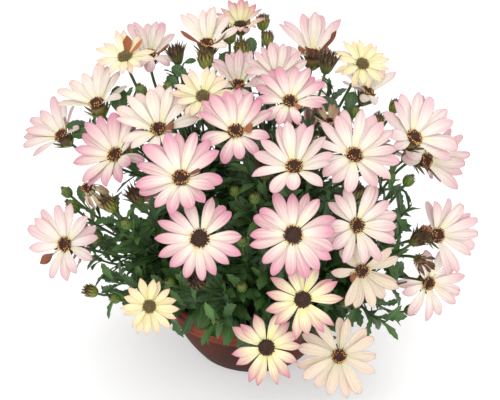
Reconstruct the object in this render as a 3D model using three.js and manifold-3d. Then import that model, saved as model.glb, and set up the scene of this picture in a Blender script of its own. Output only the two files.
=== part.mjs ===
// An osteospermum (African daisy) in a low terracotta bowl, in millimetres, +Z up.
// The origin is the centre of the pot's underside, and the plant's best side faces -Y.
//
// The soil fills the pot. Nine leafy shoots stand in plain holes in the soil. Each shoot is one grown
// piece: root stem, dense heart of leaves, toothed leaves, bare flower stalks with a green calyx
// cup at their ends, and closed buds. Every flower head is a piece of its own that sits in its cup.
import * as THREE from 'three';
import { mergeVertices } from 'three/addons/utils/BufferGeometryUtils.js';
import Module from 'manifold-3d';

const wasm = await Module();
wasm.setup();

// ---------------------------------------------------------------- driving dimensions

const CLEARANCE = 0.3;

// Slivers that a join leaves are merged within this distance.
const MERGE_WITHIN = 0.12;

const POT = {
  rimRadius: 75,
  height: 60,
  bandHeight: 18,
  bandStep: 3.2,
  footRadius: 47,
  bulge: 3.2,
  wall: 5,
  floor: 6,
  drainRadius: 4,
  drainReach: 28,
  drains: 3,
  segments: 30,
};

const SOIL = { edgeHeight: 49, crown: 4, lump: 1.1 };

const ROOT = { radius: 3.2, depth: 12, proud: 6, sides: 6 };

const STALK = { radius: 1.25, rootRadius: 1.6, sides: 5 };

const CALYX = { length: 9, radius: 5.3, neck: 1.7, seat: 1.4 };

const HEAD = { thickness: 0.8, discShare: 0.19, widest: 0.68, petalShare: 0.29, petals: 11, spentPetals: 7 };

const LEAF = { thickness: 0.8, length: 52, halfWidth: 9 };

// Petals crowd round to the far side of a fanned head, by this much for each degree of its fan, and
// the near ones are shorter.
const CROWDING = 0.026;
const NEAR_LOSS = 0.02;

// The angles of a head that its row doesn't give. bare is where round the face petals are missing.
const FLAT = { fan: 0, far: 90, curl: 16, bare: null };

// How far a bare stretch reaches to either side of its middle, in degrees.
const BARE_REACH = 48;

// How far the hollows between a heart's leaf tufts reach, against the tufts themselves.
const HEART_HOLLOW = 0.78;

// The layout plane stands in the plant's heart and leans back by LEAN degrees. A flower is placed by
// how far across and up it lies on that plane, and how near it is to someone SIGHT mm in front.
const LEAN = 24.3;
const SIGHT = 1010;
const HEART = new THREE.Vector3(-3, 0, 144);
const ACROSS = new THREE.Vector3(1, 0, 0);
const UP = new THREE.Vector3(0, Math.sin(rad(LEAN)), Math.cos(rad(LEAN)));
const NEAR = new THREE.Vector3(0, -Math.cos(rad(LEAN)), Math.sin(rad(LEAN)));

// Leafy shoots: bearing (degrees, 0 = front, 90 = +X), where the root stands, where the heart lies.
const SHOOTS = [
  { bearing: 0, root: 34, reach: 70, height: 95, heart: [36, 36, 32] },
  { bearing: 60, root: 34, reach: 70, height: 95, heart: [36, 36, 32] },
  { bearing: 120, root: 34, reach: 70, height: 95, heart: [36, 36, 32] },
  { bearing: 180, root: 34, reach: 70, height: 95, heart: [36, 36, 32] },
  { bearing: -120, root: 34, reach: 70, height: 95, heart: [36, 36, 32] },
  { bearing: -60, root: 34, reach: 70, height: 95, heart: [36, 36, 32] },
  { bearing: 30, root: 15, reach: 38, height: 142, heart: [32, 32, 30] },
  { bearing: 150, root: 15, reach: 38, height: 142, heart: [32, 32, 30] },
  { bearing: -90, root: 15, reach: 38, height: 142, heart: [32, 32, 30] },
];

// Where the shoots fan out from, just over the soil.
const FAN_HEIGHT = 66;

// Open flower heads of the best side. right and rise lean the face, and size is a petal's reach from
// the centre as it looks on the layout plane. The rest is in degrees: lift is how far the petals rise
// out of the flat, fan how much more they do so on the head's far side and less on its near side, far
// where round the face the far side is, and curl how far a petal turns back along its length.
const HEADS = [
  { across: -107, up: 122, near: 62, right: -0.1, rise: 0.6, size: 27,
    lift: 14, fan: 6, curl: 10, tint: 'butter' },
  { across: -86, up: 124, near: 20, right: 0.05, rise: 0.7, size: 31, lift: 32, fan: 13, tint: 'blush' },
  { across: -37, up: 133, near: 55, right: -0.05, rise: 0.72, size: 34,
    lift: 30, fan: 14, bare: -112, tint: 'cream' },
  { across: -8, up: 149, near: 22, right: 0, rise: 0.74, size: 25, lift: 34, fan: 10, tint: 'butter' },
  { across: -131, up: 82, near: 45, right: -0.3, rise: 0.72, size: 37,
    lift: 28, fan: 14, far: 105, bare: -55, tint: 'cream' },
  { across: -161, up: 55, near: 15, right: -0.5, rise: 0.58, size: 34,
    lift: 34, fan: 7, far: 130, bare: -30, tint: 'blush' },
  { across: -115, up: 38, near: 94, right: -0.36, rise: 0.42, size: 38,
    lift: 28, fan: 4, far: 115, tint: 'rose' },
  { across: -78, up: 60, near: 112, right: -0.05, rise: 0.56, size: 39, lift: 28, fan: 11, tint: 'cream' },
  { across: -40, up: 88, near: 118, right: 0, rise: 0.52, size: 28, lift: 18, fan: 2, tint: 'butter' },
  { across: -10, up: 98, near: 86, right: 0, rise: 0.74, size: 31, lift: 30, fan: 14, tint: 'blush' },
  { across: -12, up: 58, near: 140, right: -0.05, rise: 0.56, size: 39, lift: 28, fan: 11, tint: 'rose' },
  { across: -59, up: 18, near: 158, right: 0, rise: 0.44, size: 41, lift: 24, fan: 5, tint: 'rose' },
  { across: 54, up: 124, near: 40, right: 0.05, rise: 0.76, size: 38,
    lift: 30, fan: 15, bare: -100, tint: 'blush' },
  { across: 96, up: 116, near: 70, right: 0.2, rise: 0.45, size: 25, lift: 8, fan: 2, tint: 'butter' },
  { across: 100, up: 92, near: 22, right: 0.35, rise: 0.78, size: 34,
    lift: 30, fan: 14, far: 62, bare: -96, tint: 'cream' },
  { across: 23, up: 106, near: 98, right: 0.1, rise: 0.62, size: 31, lift: 26, fan: 8, tint: 'blush' },
  { across: 34, up: 84, near: 124, right: 0.1, rise: 0.5, size: 33, lift: 22, fan: 5, tint: 'rose' },
  { across: 38, up: 28, near: 160, right: -0.1, rise: 0.54, size: 40, lift: 30, fan: 9, tint: 'blush' },
  { across: 89, up: 38, near: 130, right: 0.16, rise: 0.45, size: 40,
    lift: 24, fan: 5, far: 60, tint: 'blush' },
  { across: 140, up: 53, near: 88, right: 0.4, rise: 0.42, size: 40,
    lift: 26, fan: 6, far: 50, bare: 242, tint: 'blush' },
  { across: 150, up: 34, near: 38, right: 0.6, rise: -0.2, size: 38,
    lift: 26, fan: 10, far: -16, bare: 242, tint: 'blush' },
  { across: -158, up: -38, near: 50, right: -0.32, rise: 0.12, size: 35, lift: 20, fan: 4, tint: 'blush' },
  { across: -43, up: -33, near: 150, right: 0, rise: 0.08, size: 37, lift: 8, tint: 'rose' },
  { across: -86, up: -91, near: 112, right: 0, rise: 0, size: 25, lift: 3, curl: 8, tint: 'butter' },
  { across: 37, up: -30, near: 152, right: 0, rise: 0.1, size: 38, lift: 8, tint: 'rose' },
  { across: 91, up: -22, near: 122, right: 0.28, rise: 0.1, size: 36,
    lift: 20, fan: 6, far: 16, tint: 'blush' },
  { across: 160, up: -30, near: 48, right: 0.54, rise: 0.05, size: 36,
    lift: 26, fan: 7, far: 6, bare: 205, tint: 'blush' },
  { across: 95, up: -60, near: 96, right: 0.36, rise: -0.34, size: 35,
    lift: 20, fan: 12, far: -46, curl: 30, tint: 'faded' },
  { across: 152, up: -71, near: 28, right: 0.44, rise: -0.2, size: 33,
    lift: 16, fan: 7, far: -30, curl: 24, tint: 'blush' },
  { across: 45, up: -85, near: 132, right: 0, rise: 0, size: 33, lift: 4, curl: 8, tint: 'butter' },
  { across: 14, up: -126, near: 106, right: 0, rise: -0.05, size: 32, lift: 2, curl: 8, tint: 'butter' },
  { across: 76, up: -133, near: 84, right: 0.12, rise: -0.12, size: 35, lift: 4, curl: 12, tint: 'faded' },
  // three spent heads
  { across: -139, up: 10, near: 62, right: -0.34, rise: 0.5, size: 24, lift: -12, curl: 36, tint: 'spent' },
  { across: 68, up: 66, near: 96, right: -0.1, rise: 0.5, size: 20, lift: 50, curl: -20, tint: 'spent' },
  { across: 146, up: -52, near: 84, right: 0.25, rise: -0.3, size: 18, lift: 50, curl: -40, tint: 'spent' },
];

// Open heads of the sides and the back: bearing as above, reach from the pot's axis, height, and the
// face's tilt above the horizontal.
const ROUND_HEADS = [
  { bearing: 124, reach: 130, height: 166, tilt: 50, size: 34, lift: 16, tint: 'blush' },
  { bearing: 152, reach: 92, height: 212, tilt: 82, size: 31, lift: 14, tint: 'cream' },
  { bearing: 158, reach: 145, height: 152, tilt: 30, size: 36, lift: 12, tint: 'rose' },
  { bearing: -158, reach: 112, height: 198, tilt: 58, size: 33, lift: 18, tint: 'blush' },
  { bearing: -128, reach: 148, height: 154, tilt: 30, size: 35, lift: 20, tint: 'cream' },
  { bearing: -170, reach: 158, height: 172, tilt: 24, size: 34, lift: 10, tint: 'blush' },
  { bearing: -102, reach: 150, height: 92, tilt: 8, size: 31, lift: 14, tint: 'rose' },
  { bearing: 168, reach: 150, height: 104, tilt: 6, size: 33, lift: 5, tint: 'butter' },
  { bearing: 112, reach: 156, height: 163, tilt: 20, size: 35, lift: 18, tint: 'rose' },
  { bearing: 138, reach: 148, height: 92, tilt: 2, size: 29, lift: 3, tint: 'butter' },
  { bearing: -145, reach: 146, height: 100, tilt: 4, size: 32, lift: 4, tint: 'blush' },
];

// Closed buds: placed as the heads are. size is the bud's radius.
const BUDS = [
  { across: -63, up: 124, near: 40, size: 6.6 },
  { across: -38, up: 120, near: 84, size: 6.4 },
  { across: -7, up: 129, near: 56, size: 6.2 },
  { across: 11, up: 152, near: 12, size: 5.2 },
  { across: 66, up: 117, near: 76, size: 7.4 },
  { across: -18, up: 141, near: 48, size: 5.8 },
  { across: 15, up: 138, near: 34, size: 4.8 },
  { across: -93, up: 94, near: 72, size: 4.8 },
  { across: -70, up: 97, near: 64, size: 4.2 },
  { across: 124, up: 80, near: 40, size: 4.8 },
  { across: 90, up: 76, near: 84, size: 4.2 },
  { across: 90, up: 7, near: 98, size: 5.6 },
  { across: 136, up: 17, near: 70, size: 4.8 },
  { across: -152, up: -5, near: 34, size: 5.6 },
  { across: -131, up: -30, near: 34, size: 4.4 },
  { across: -106, up: -20, near: 86, size: 4.8 },
  { across: -136, up: -78, near: 36, size: 5 },
  { across: -116, up: -84, near: 62, size: 4.4 },
  { across: -29, up: -103, near: 84, size: 4.8 },
  { across: -7, up: -74, near: 104, size: 4.6 },
  { across: 4, up: 2, near: 118, size: 4.8 },
  { across: 138, up: -94, near: 6, size: 4.8 },
  { across: -157, up: 7, near: 14, size: 4.4 },
  { across: 144, up: -33, near: 86, size: 7 },
  { across: 109, up: 68, near: 50, size: 5 },
  { across: 82, up: -88, near: 80, size: 4.2 },
  { across: -120, up: -4, near: 84, size: 6 },
];

const TINTS = {
  butter: '#f4e6a8',
  cream: '#f5ead2',
  blush: '#f2dcd6',
  rose: '#eec2d2',
  faded: '#e6d6c2',
  spent: '#b98f7c',
};

// ---------------------------------------------------------------- small helpers

function rad(degrees) {
  return (degrees * Math.PI) / 180;
}

// A repeatable value from -1 to 1 for the pair (a, b).
function wobble(a, b) {
  const value = Math.sin(a * 12.9898 + b * 78.233) * 43758.5453;
  return 2 * (value - Math.floor(value)) - 1;
}

function bearingVector(degrees) {
  return new THREE.Vector3(Math.sin(rad(degrees)), -Math.cos(rad(degrees)), 0);
}

// What looks one size on the layout plane is this much smaller where it really stands.
function shrinkAt(near) {
  return 1 - near / SIGHT;
}

function onLayout(across, up, near) {
  return HEART.clone()
    .addScaledVector(ACROSS, across * shrinkAt(near))
    .addScaledVector(UP, up * shrinkAt(near))
    .addScaledVector(NEAR, near);
}

function facing(right, rise) {
  const out = Math.sqrt(Math.max(0.01, 1 - right * right - rise * rise));
  return new THREE.Vector3()
    .addScaledVector(ACROSS, right)
    .addScaledVector(UP, rise)
    .addScaledVector(NEAR, out)
    .normalize();
}

// Turns a closed geometry into a solid, with its faces out.
function solidOf(geometry) {
  geometry.deleteAttribute('normal');
  geometry.deleteAttribute('uv');
  const merged = mergeVertices(geometry, 1e-3);
  const index = Array.from(merged.index.array);
  const kept = [];
  for (let i = 0; i < index.length; i += 3) {
    const [a, b, c] = index.slice(i, i + 3);
    if (a !== b && b !== c && c !== a) kept.push(a, b, c);
  }
  const points = merged.attributes.position.array;
  const build = (triangles) => new wasm.Manifold(new wasm.Mesh({
    numProp: 3,
    vertProperties: new Float32Array(points),
    triVerts: new Uint32Array(triangles),
  }));
  const solid = build(kept);
  if (solid.volume() > 0) return solid;
  return build(kept.reverse());
}

function geometryOf(solid) {
  const mesh = solid.simplify(MERGE_WITHIN).getMesh();
  const geometry = new THREE.BufferGeometry();
  geometry.setAttribute('position', new THREE.BufferAttribute(new Float32Array(mesh.vertProperties), 3));
  geometry.setIndex(Array.from(mesh.triVerts));
  return geometry;
}

function geometryFrom(points, faces) {
  const geometry = new THREE.BufferGeometry();
  geometry.setAttribute('position', new THREE.Float32BufferAttribute(points.flatMap((p) => p.toArray()), 3));
  geometry.setIndex(faces.flat());
  return geometry;
}

// Lets a round profile, [radius, distance along], follow a curve.
function alongCurve(profile, sides, curve) {
  const length = curve.getLength();
  const lathe = new THREE.LatheGeometry(profile.map(([r, s]) => new THREE.Vector2(r, s)), sides);
  const place = lathe.attributes.position;
  const steep = Math.abs(curve.getTangentAt(1).z) > 0.9;
  const hint = new THREE.Vector3(steep ? 1 : 0, 0, steep ? 0 : 1);
  for (let i = 0; i < place.count; i += 1) {
    const share = THREE.MathUtils.clamp(place.getY(i) / length, 0, 1);
    const centre = curve.getPointAt(share);
    const tangent = curve.getTangentAt(share);
    const side = new THREE.Vector3().crossVectors(hint, tangent).normalize();
    const over = new THREE.Vector3().crossVectors(tangent, side);
    centre.addScaledVector(side, place.getX(i)).addScaledVector(over, place.getZ(i));
    place.setXYZ(i, centre.x, centre.y, centre.z);
  }
  return solidOf(lathe);
}

function boxesMeet(a, b) {
  const p = a.boundingBox();
  const q = b.boundingBox();
  return [0, 1, 2].every((k) => p.min[k] < q.max[k] && q.min[k] < p.max[k]);
}

function meets(solid, others) {
  return others.some((other) => boxesMeet(solid, other) && solid.intersect(other).volume() > 1e-4);
}

// ---------------------------------------------------------------- pot and soil

function wallRadius(height) {
  const bodyHeight = POT.height - POT.bandHeight;
  const share = Math.min(1, height / bodyHeight);
  const top = POT.rimRadius - POT.bandStep;
  return THREE.MathUtils.lerp(POT.footRadius, top, share) + POT.bulge * Math.sin(Math.PI * share);
}

const WALL_HEIGHTS = [0.28, 0.62, 1].map((share) => share * (POT.height - POT.bandHeight));

function innerProfile(gap) {
  const corner = [wallRadius(POT.floor) - POT.wall - 2 - gap, POT.floor + gap];
  return [corner, ...WALL_HEIGHTS.map((height) => [wallRadius(height) - POT.wall - gap, height])];
}

function potSolid() {
  const bandFoot = POT.height - POT.bandHeight;
  const outer = [
    [0, 0],
    [POT.footRadius - 2, 0],
    [POT.footRadius, 2],
    ...WALL_HEIGHTS.map((height) => [wallRadius(height), height]),
    [POT.rimRadius - 0.6, bandFoot + 1],
    [POT.rimRadius, bandFoot + 3],
    [POT.rimRadius, POT.height - 2],
    [POT.rimRadius - 2, POT.height],
    [POT.rimRadius - 4, POT.height - 0.6],
    [POT.rimRadius - 5.6, POT.height - 3],
  ];
  const profile = [...outer, ...innerProfile(0).reverse(), [0, POT.floor]];
  const lathe = new THREE.LatheGeometry(profile.map(([r, z]) => new THREE.Vector2(r, z)), POT.segments);
  lathe.rotateX(Math.PI / 2);
  let pot = solidOf(lathe);
  for (let i = 0; i < POT.drains; i += 1) {
    const drain = new THREE.CylinderGeometry(POT.drainRadius, POT.drainRadius, POT.floor * 3, 10);
    drain.rotateX(Math.PI / 2);
    const place = bearingVector((360 / POT.drains) * i).multiplyScalar(POT.drainReach);
    drain.translate(place.x, place.y, 0);
    pot = pot.subtract(solidOf(drain));
  }
  return pot;
}

function rootPlace(shoot) {
  return bearingVector(shoot.bearing).multiplyScalar(shoot.root);
}

function soilSolid() {
  const edge = wallRadius(SOIL.edgeHeight) - POT.wall;
  const profile = [
    [0, POT.floor + CLEARANCE],
    ...innerProfile(CLEARANCE),
    [edge - CLEARANCE, SOIL.edgeHeight],
    [edge * 0.62, SOIL.edgeHeight + SOIL.crown * 0.7],
    [edge * 0.3, SOIL.edgeHeight + SOIL.crown],
    [0, SOIL.edgeHeight + SOIL.crown],
  ];
  const lathe = new THREE.LatheGeometry(profile.map(([r, z]) => new THREE.Vector2(r, z)), POT.segments);
  const place = lathe.attributes.position;
  for (let i = 0; i < place.count; i += 1) {
    const onTop = place.getY(i) > SOIL.edgeHeight + 0.1 && Math.hypot(place.getX(i), place.getZ(i)) > 1;
    const lump = onTop ? SOIL.lump * wobble(Math.round(place.getX(i)), Math.round(place.getZ(i))) : 0;
    place.setY(i, place.getY(i) + lump);
  }
  lathe.rotateX(Math.PI / 2);
  let soil = solidOf(lathe);
  const soilTop = SOIL.edgeHeight + SOIL.crown;
  for (const shoot of SHOOTS) {
    const hole = new THREE.CylinderGeometry(
      ROOT.radius + CLEARANCE * 1.3,
      ROOT.radius + CLEARANCE * 1.3,
      ROOT.depth * 2 + CLEARANCE * 2,
      ROOT.sides,
    );
    hole.rotateX(Math.PI / 2);
    const place = rootPlace(shoot);
    hole.translate(place.x, place.y, soilTop);
    soil = soil.subtract(solidOf(hole));
  }
  return soil;
}

// ---------------------------------------------------------------- flower heads

// Two directions across a face, the first level and the second uphill.
function faceFrame(axis) {
  const level = new THREE.Vector3(0, 0, 1).cross(axis);
  if (level.lengthSq() < 1e-4) level.set(1, 0, 0);
  level.normalize();
  return { level, uphill: new THREE.Vector3().crossVectors(axis, level) };
}

// One daisy: ray petals that share the ring at the disc's edge, and a domed disc.
function headSolid(head, seed) {
  const petals = head.tint === 'spent' ? HEAD.spentPetals : HEAD.petals;
  const { level, uphill } = faceFrame(head.axis);
  const discRadius = head.size * HEAD.discShare;
  const blade = head.size - discRadius;
  const at = (angle, radius, height) => head.centre.clone()
    .addScaledVector(level, Math.cos(angle) * radius)
    .addScaledVector(uphill, Math.sin(angle) * radius)
    .addScaledVector(head.axis, height);
  const step = (2 * Math.PI) / petals;
  const phase = wobble(seed, 1) * step;
  const points = [];
  const faces = [];
  const crowded = (angle) => angle - CROWDING * head.fan * Math.sin(angle - rad(head.far));
  const inBareStretch = (angle) => Math.cos(angle - rad(head.bare)) > Math.cos(rad(BARE_REACH));
  const missing = [];
  for (let i = 0; i < petals; i += 1) {
    const start = crowded(phase + i * step);
    const end = crowded(phase + (i + 1) * step);
    const middle = (start + end) / 2;
    missing.push(head.bare !== null && inBareStretch(middle));
    const farness = Math.cos(middle - rad(head.far));
    const lift = rad(head.lift + head.fan * farness + 5 * wobble(seed, 10 + i));
    const loss = NEAR_LOSS * head.fan * Math.max(0, -farness);
    const length = blade * (1 + 0.05 * wobble(seed, 40 + i)) * (1 - loss);
    const footLift = lift - rad(head.curl * 0.25 - 4);
    const wideRadius = discRadius + length * HEAD.widest * Math.cos(footLift);
    const wideHeight = length * HEAD.widest * Math.sin(footLift);
    const tipLift = lift - rad(head.curl * 0.8 - 4);
    const tipRadius = wideRadius + length * (1 - HEAD.widest) * Math.cos(tipLift);
    const tipHeight = wideHeight + length * (1 - HEAD.widest) * Math.sin(tipLift);
    const room = wideRadius * Math.sin((end - start) / 2) - 0.35;
    const half = Math.min((HEAD.petalShare * head.size) / 2, room);
    const spread = Math.asin(half / wideRadius);
    const sink = HEAD.thickness * Math.cos(lift);
    const slide = HEAD.thickness * Math.sin(lift);
    points.push(
      at(start, discRadius, 0),
      at(start, discRadius, -1),
      at(middle - spread, wideRadius, wideHeight),
      at(middle + spread, wideRadius, wideHeight),
      at(middle, tipRadius, tipHeight),
      at(middle - spread, wideRadius + slide, wideHeight - sink),
      at(middle + spread, wideRadius + slide, wideHeight - sink),
      at(middle, tipRadius + slide, tipHeight - sink),
    );
  }
  const apex = points.push(at(0, 0, 3.2)) - 1;
  const seat = points.push(at(0, 0, -1)) - 1;
  for (let i = 0; i < petals; i += 1) {
    const corners = Array.from({ length: 8 }, (_, k) => i * 8 + k);
    const [edge, under, wideA, wideB, tip, lowA, lowB, lowTip] = corners;
    const nextEdge = ((i + 1) % petals) * 8;
    const nextUnder = nextEdge + 1;
    faces.push([edge, nextEdge, apex], [nextUnder, under, seat]);
    if (missing[i]) {
      faces.push([edge, under, nextUnder], [edge, nextUnder, nextEdge]);
      continue;
    }
    faces.push(
      [edge, wideA, wideB], [edge, wideB, nextEdge], [wideA, tip, wideB],
      [under, lowB, lowA], [under, nextUnder, lowB], [lowA, lowB, lowTip],
      [wideA, edge, under], [wideA, under, lowA],
      [tip, wideA, lowA], [tip, lowA, lowTip],
      [wideB, tip, lowTip], [wideB, lowTip, lowB],
      [nextEdge, wideB, lowB], [nextEdge, lowB, nextUnder],
    );
  }
  return solidOf(geometryFrom(points, faces));
}

// ---------------------------------------------------------------- leaves, stalks and buds

// Share of the length and of the half width: a tooth and the notch after it, then the widest place.
const TOOTHED_LEAF = [[0, 0.2], [0.42, 0.9], [0.5, 0.5], [0.74, 1]];
const YOUNG_LEAF = [[0, 0.2], [0.6, 0.85]];

function leafSolid(outline, root, along, length, droop) {
  const side = new THREE.Vector3().crossVectors(along, new THREE.Vector3(0, 0, 1)).normalize();
  const over = new THREE.Vector3().crossVectors(side, along);
  const half = (LEAF.halfWidth * length) / LEAF.length;
  const at = (share, width, depth) => root.clone()
    .addScaledVector(along, share * length)
    .addScaledVector(side, width * half)
    .addScaledVector(over, -droop * length * share * share - depth);
  const points = [];
  for (const [share, width] of outline) {
    points.push(at(share, -width, 0), at(share, width, 0));
    points.push(at(share, -width, LEAF.thickness), at(share, width, LEAF.thickness));
  }
  const tip = points.push(at(1, 0, 0)) - 1;
  const lowTip = points.push(at(1, 0, LEAF.thickness)) - 1;
  const faces = [[0, 1, 3], [0, 3, 2]];
  const last = outline.length - 1;
  for (let i = 0; i < last; i += 1) {
    const [a, b, c, d] = [4 * i, 4 * i + 1, 4 * i + 2, 4 * i + 3];
    const [e, f, g, h] = [a + 4, b + 4, c + 4, d + 4];
    faces.push([b, a, e], [b, e, f], [c, d, g], [d, h, g]);
    faces.push([a, c, g], [a, g, e], [d, b, f], [d, f, h]);
  }
  const [a, b, c, d] = [4 * last, 4 * last + 1, 4 * last + 2, 4 * last + 3];
  faces.push([b, a, tip], [c, d, lowTip], [a, c, lowTip], [a, lowTip, tip], [d, b, tip], [d, tip, lowTip]);
  return solidOf(geometryFrom(points, faces));
}

function heartOf(shoot) {
  return bearingVector(shoot.bearing).multiplyScalar(shoot.reach).setZ(shoot.height);
}

// The shoot whose direction from the fan's centre is nearest to a place carries what grows there.
function carrierOf(place) {
  const fan = new THREE.Vector3(0, 0, FAN_HEIGHT);
  const towards = place.clone().sub(fan).normalize();
  const closeness = SHOOTS.map((shoot) => heartOf(shoot).sub(fan).normalize().dot(towards));
  return closeness.indexOf(Math.max(...closeness));
}

// A stalk leaves the heart of its shoot and arrives along the axis of what it carries.
function stalkCurve(shoot, end, axis) {
  const heart = heartOf(shoot);
  const start = heart.clone().addScaledVector(end.clone().sub(heart).normalize(), 12);
  const span = start.distanceTo(end);
  const outward = end.clone().sub(start).normalize();
  return new THREE.CubicBezierCurve3(
    start,
    start.clone().addScaledVector(outward, span * 0.35),
    end.clone().addScaledVector(axis, -span * 0.33),
    end,
  );
}

function headStalk(shoot, head) {
  const seat = head.centre.clone().addScaledVector(head.axis, -CALYX.seat);
  const curve = stalkCurve(shoot, seat, head.axis);
  const length = curve.getLength();
  return alongCurve([
    [0, 0],
    [STALK.rootRadius, 0],
    [STALK.radius, length * 0.5],
    [CALYX.neck, length - CALYX.length],
    [CALYX.radius, length],
    [0, length],
  ], STALK.sides, curve);
}

function budStalk(shoot, bud) {
  const tip = bud.centre.clone().addScaledVector(bud.axis, bud.size * 1.5);
  const curve = stalkCurve(shoot, tip, bud.axis);
  const length = curve.getLength();
  return alongCurve([
    [0, 0],
    [STALK.rootRadius, 0],
    [STALK.radius, length - bud.size * 2.9],
    [bud.size, length - bud.size * 1.9],
    [bud.size * 0.72, length - bud.size * 0.5],
    [0, length],
  ], STALK.sides, curve);
}

// The heart is a knot of leaf tufts: twelve points with hollows between them.
function heartSolid(shoot, seed) {
  const tufts = new THREE.IcosahedronGeometry(1, 0).attributes.position;
  const lump = new THREE.IcosahedronGeometry(1, 1);
  const place = lump.attributes.position;
  const corner = new THREE.Vector3();
  const tuft = new THREE.Vector3();
  const centre = heartOf(shoot);
  const outward = bearingVector(shoot.bearing);
  const sideways = new THREE.Vector3(-outward.y, outward.x, 0);
  for (let i = 0; i < place.count; i += 1) {
    corner.fromBufferAttribute(place, i);
    let onTuft = false;
    for (let k = 0; k < tufts.count; k += 1) {
      onTuft ||= tuft.fromBufferAttribute(tufts, k).distanceTo(corner) < 0.01;
    }
    const reach = onTuft ? 0.93 + 0.07 * wobble(Math.round(corner.x * 9 + corner.z * 5), seed) : HEART_HOLLOW;
    corner.applyAxisAngle(ACROSS, seed).multiplyScalar(reach);
    const at = centre.clone()
      .addScaledVector(outward, corner.x * shoot.heart[0])
      .addScaledVector(sideways, corner.y * shoot.heart[1]);
    place.setXYZ(i, at.x, at.y, at.z + corner.z * shoot.heart[2]);
  }
  return solidOf(lump);
}

function rootSolid(shoot) {
  const soilTop = SOIL.edgeHeight + SOIL.crown;
  const foot = rootPlace(shoot).setZ(soilTop - ROOT.depth);
  const root = new THREE.CylinderGeometry(ROOT.radius, ROOT.radius, ROOT.depth + ROOT.proud, ROOT.sides);
  root.rotateX(Math.PI / 2);
  root.translate(foot.x, foot.y, foot.z + (ROOT.depth + ROOT.proud) / 2);
  const neck = foot.clone().setZ(soilTop + ROOT.proud - 2);
  const heart = heartOf(shoot);
  const rise = (heart.z - neck.z) * 0.5;
  const curve = new THREE.CubicBezierCurve3(
    neck,
    neck.clone().setZ(neck.z + rise),
    heart.clone().lerp(neck, 0.3),
    heart,
  );
  const length = curve.getLength();
  const stem = alongCurve([
    [0, 0],
    [ROOT.radius * 0.95, 0],
    [ROOT.radius * 0.85, length / 2],
    [ROOT.radius * 0.75, length],
    [0, length],
  ], ROOT.sides, curve);
  return solidOf(root).add(stem);
}

// ---------------------------------------------------------------- growing the plant

const heads = [
  ...HEADS.map((row) => ({
    ...FLAT,
    ...row,
    size: row.size * shrinkAt(row.near),
    centre: onLayout(row.across, row.up, row.near),
    axis: facing(row.right, row.rise),
  })),
  ...ROUND_HEADS.map((row) => ({
    ...FLAT,
    ...row,
    centre: bearingVector(row.bearing).multiplyScalar(row.reach).setZ(row.height),
    axis: bearingVector(row.bearing).multiplyScalar(Math.cos(rad(row.tilt))).setZ(Math.sin(rad(row.tilt))),
  })),
];

const buds = BUDS.map((row) => {
  const centre = onLayout(row.across, row.up, row.near);
  const outward = centre.clone().sub(new THREE.Vector3(0, 0, FAN_HEIGHT)).normalize();
  const axis = outward.add(new THREE.Vector3(0, 0, 0.5)).normalize();
  return { size: row.size * shrinkAt(row.near), centre, axis };
});

const headSolids = heads.map((head, i) => headSolid(head, i + 1));

const shootSolids = SHOOTS.map((shoot, index) => {
  let solid = heartSolid(shoot, index + 1).add(rootSolid(shoot));
  for (const head of heads) {
    if (carrierOf(head.centre) === index) solid = solid.add(headStalk(shoot, head));
  }
  for (const bud of buds) {
    if (carrierOf(bud.centre) === index) solid = solid.add(budStalk(shoot, bud));
  }
  return solid;
});

// Leaves stand out of each heart all round, and a few grow on the stalks' feet. One that would cross
// another piece is bent to the next free direction, and left out if there is none.
const LEAVES = { perHeart: 9, onStalks: 1, tries: 9, widestOpening: 112, goldenAngle: 137.5 };

// Leaf number `rank` of a heart points along a spiral that opens round the shoot's outward way.
function heartLeaf(shoot, rank, seed, turn) {
  const outward = heartOf(shoot).sub(new THREE.Vector3(0, 0, FAN_HEIGHT)).normalize();
  const { level, uphill } = faceFrame(outward);
  const share = (rank + 0.5) / LEAVES.perHeart;
  const angle = rad(rank * LEAVES.goldenAngle + seed * 50 + turn * 17);
  const open = Math.acos(1 - share * (1 - Math.cos(rad(LEAVES.widestOpening))));
  const along = outward.clone().multiplyScalar(Math.cos(open))
    .addScaledVector(level, Math.sin(open) * Math.cos(angle))
    .addScaledVector(uphill, Math.sin(open) * Math.sin(angle));
  const root = heartOf(shoot).addScaledVector(along, shoot.heart[2] * 0.56);
  const young = rank % 2 === 1;
  const length = LEAF.length * (young ? 0.75 : 1) * (0.95 + 0.15 * wobble(seed, rank));
  return leafSolid(young ? YOUNG_LEAF : TOOTHED_LEAF, root, along, length, 0.2 + 0.12 * wobble(rank, seed));
}

function stalkLeaf(shoot, head, seed, turn) {
  const seat = head.centre.clone().addScaledVector(head.axis, -CALYX.seat);
  const curve = stalkCurve(shoot, seat, head.axis);
  const share = 0.24 + 0.08 * wobble(seed, 2);
  const along = curve.getTangentAt(share);
  const { level, uphill } = faceFrame(along);
  const angle = rad(seed * LEAVES.goldenAngle + turn * 40);
  const aside = level.multiplyScalar(Math.cos(angle)).addScaledVector(uphill, Math.sin(angle));
  const root = curve.getPointAt(share).addScaledVector(aside, -STALK.radius * 0.4);
  along.addScaledVector(aside, 0.9).normalize();
  return leafSolid(TOOTHED_LEAF, root, along, LEAF.length * 0.85, 0.2);
}

const potPiece = potSolid();
const soilPiece = soilSolid();

function growLeaf(index, bladeAt) {
  const others = [potPiece, soilPiece, ...headSolids, ...shootSolids.filter((_, i) => i !== index)];
  for (let turn = 0; turn < LEAVES.tries; turn += 1) {
    const blade = bladeAt(turn);
    if (!meets(blade, others)) {
      shootSolids[index] = shootSolids[index].add(blade);
      return;
    }
  }
}

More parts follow.
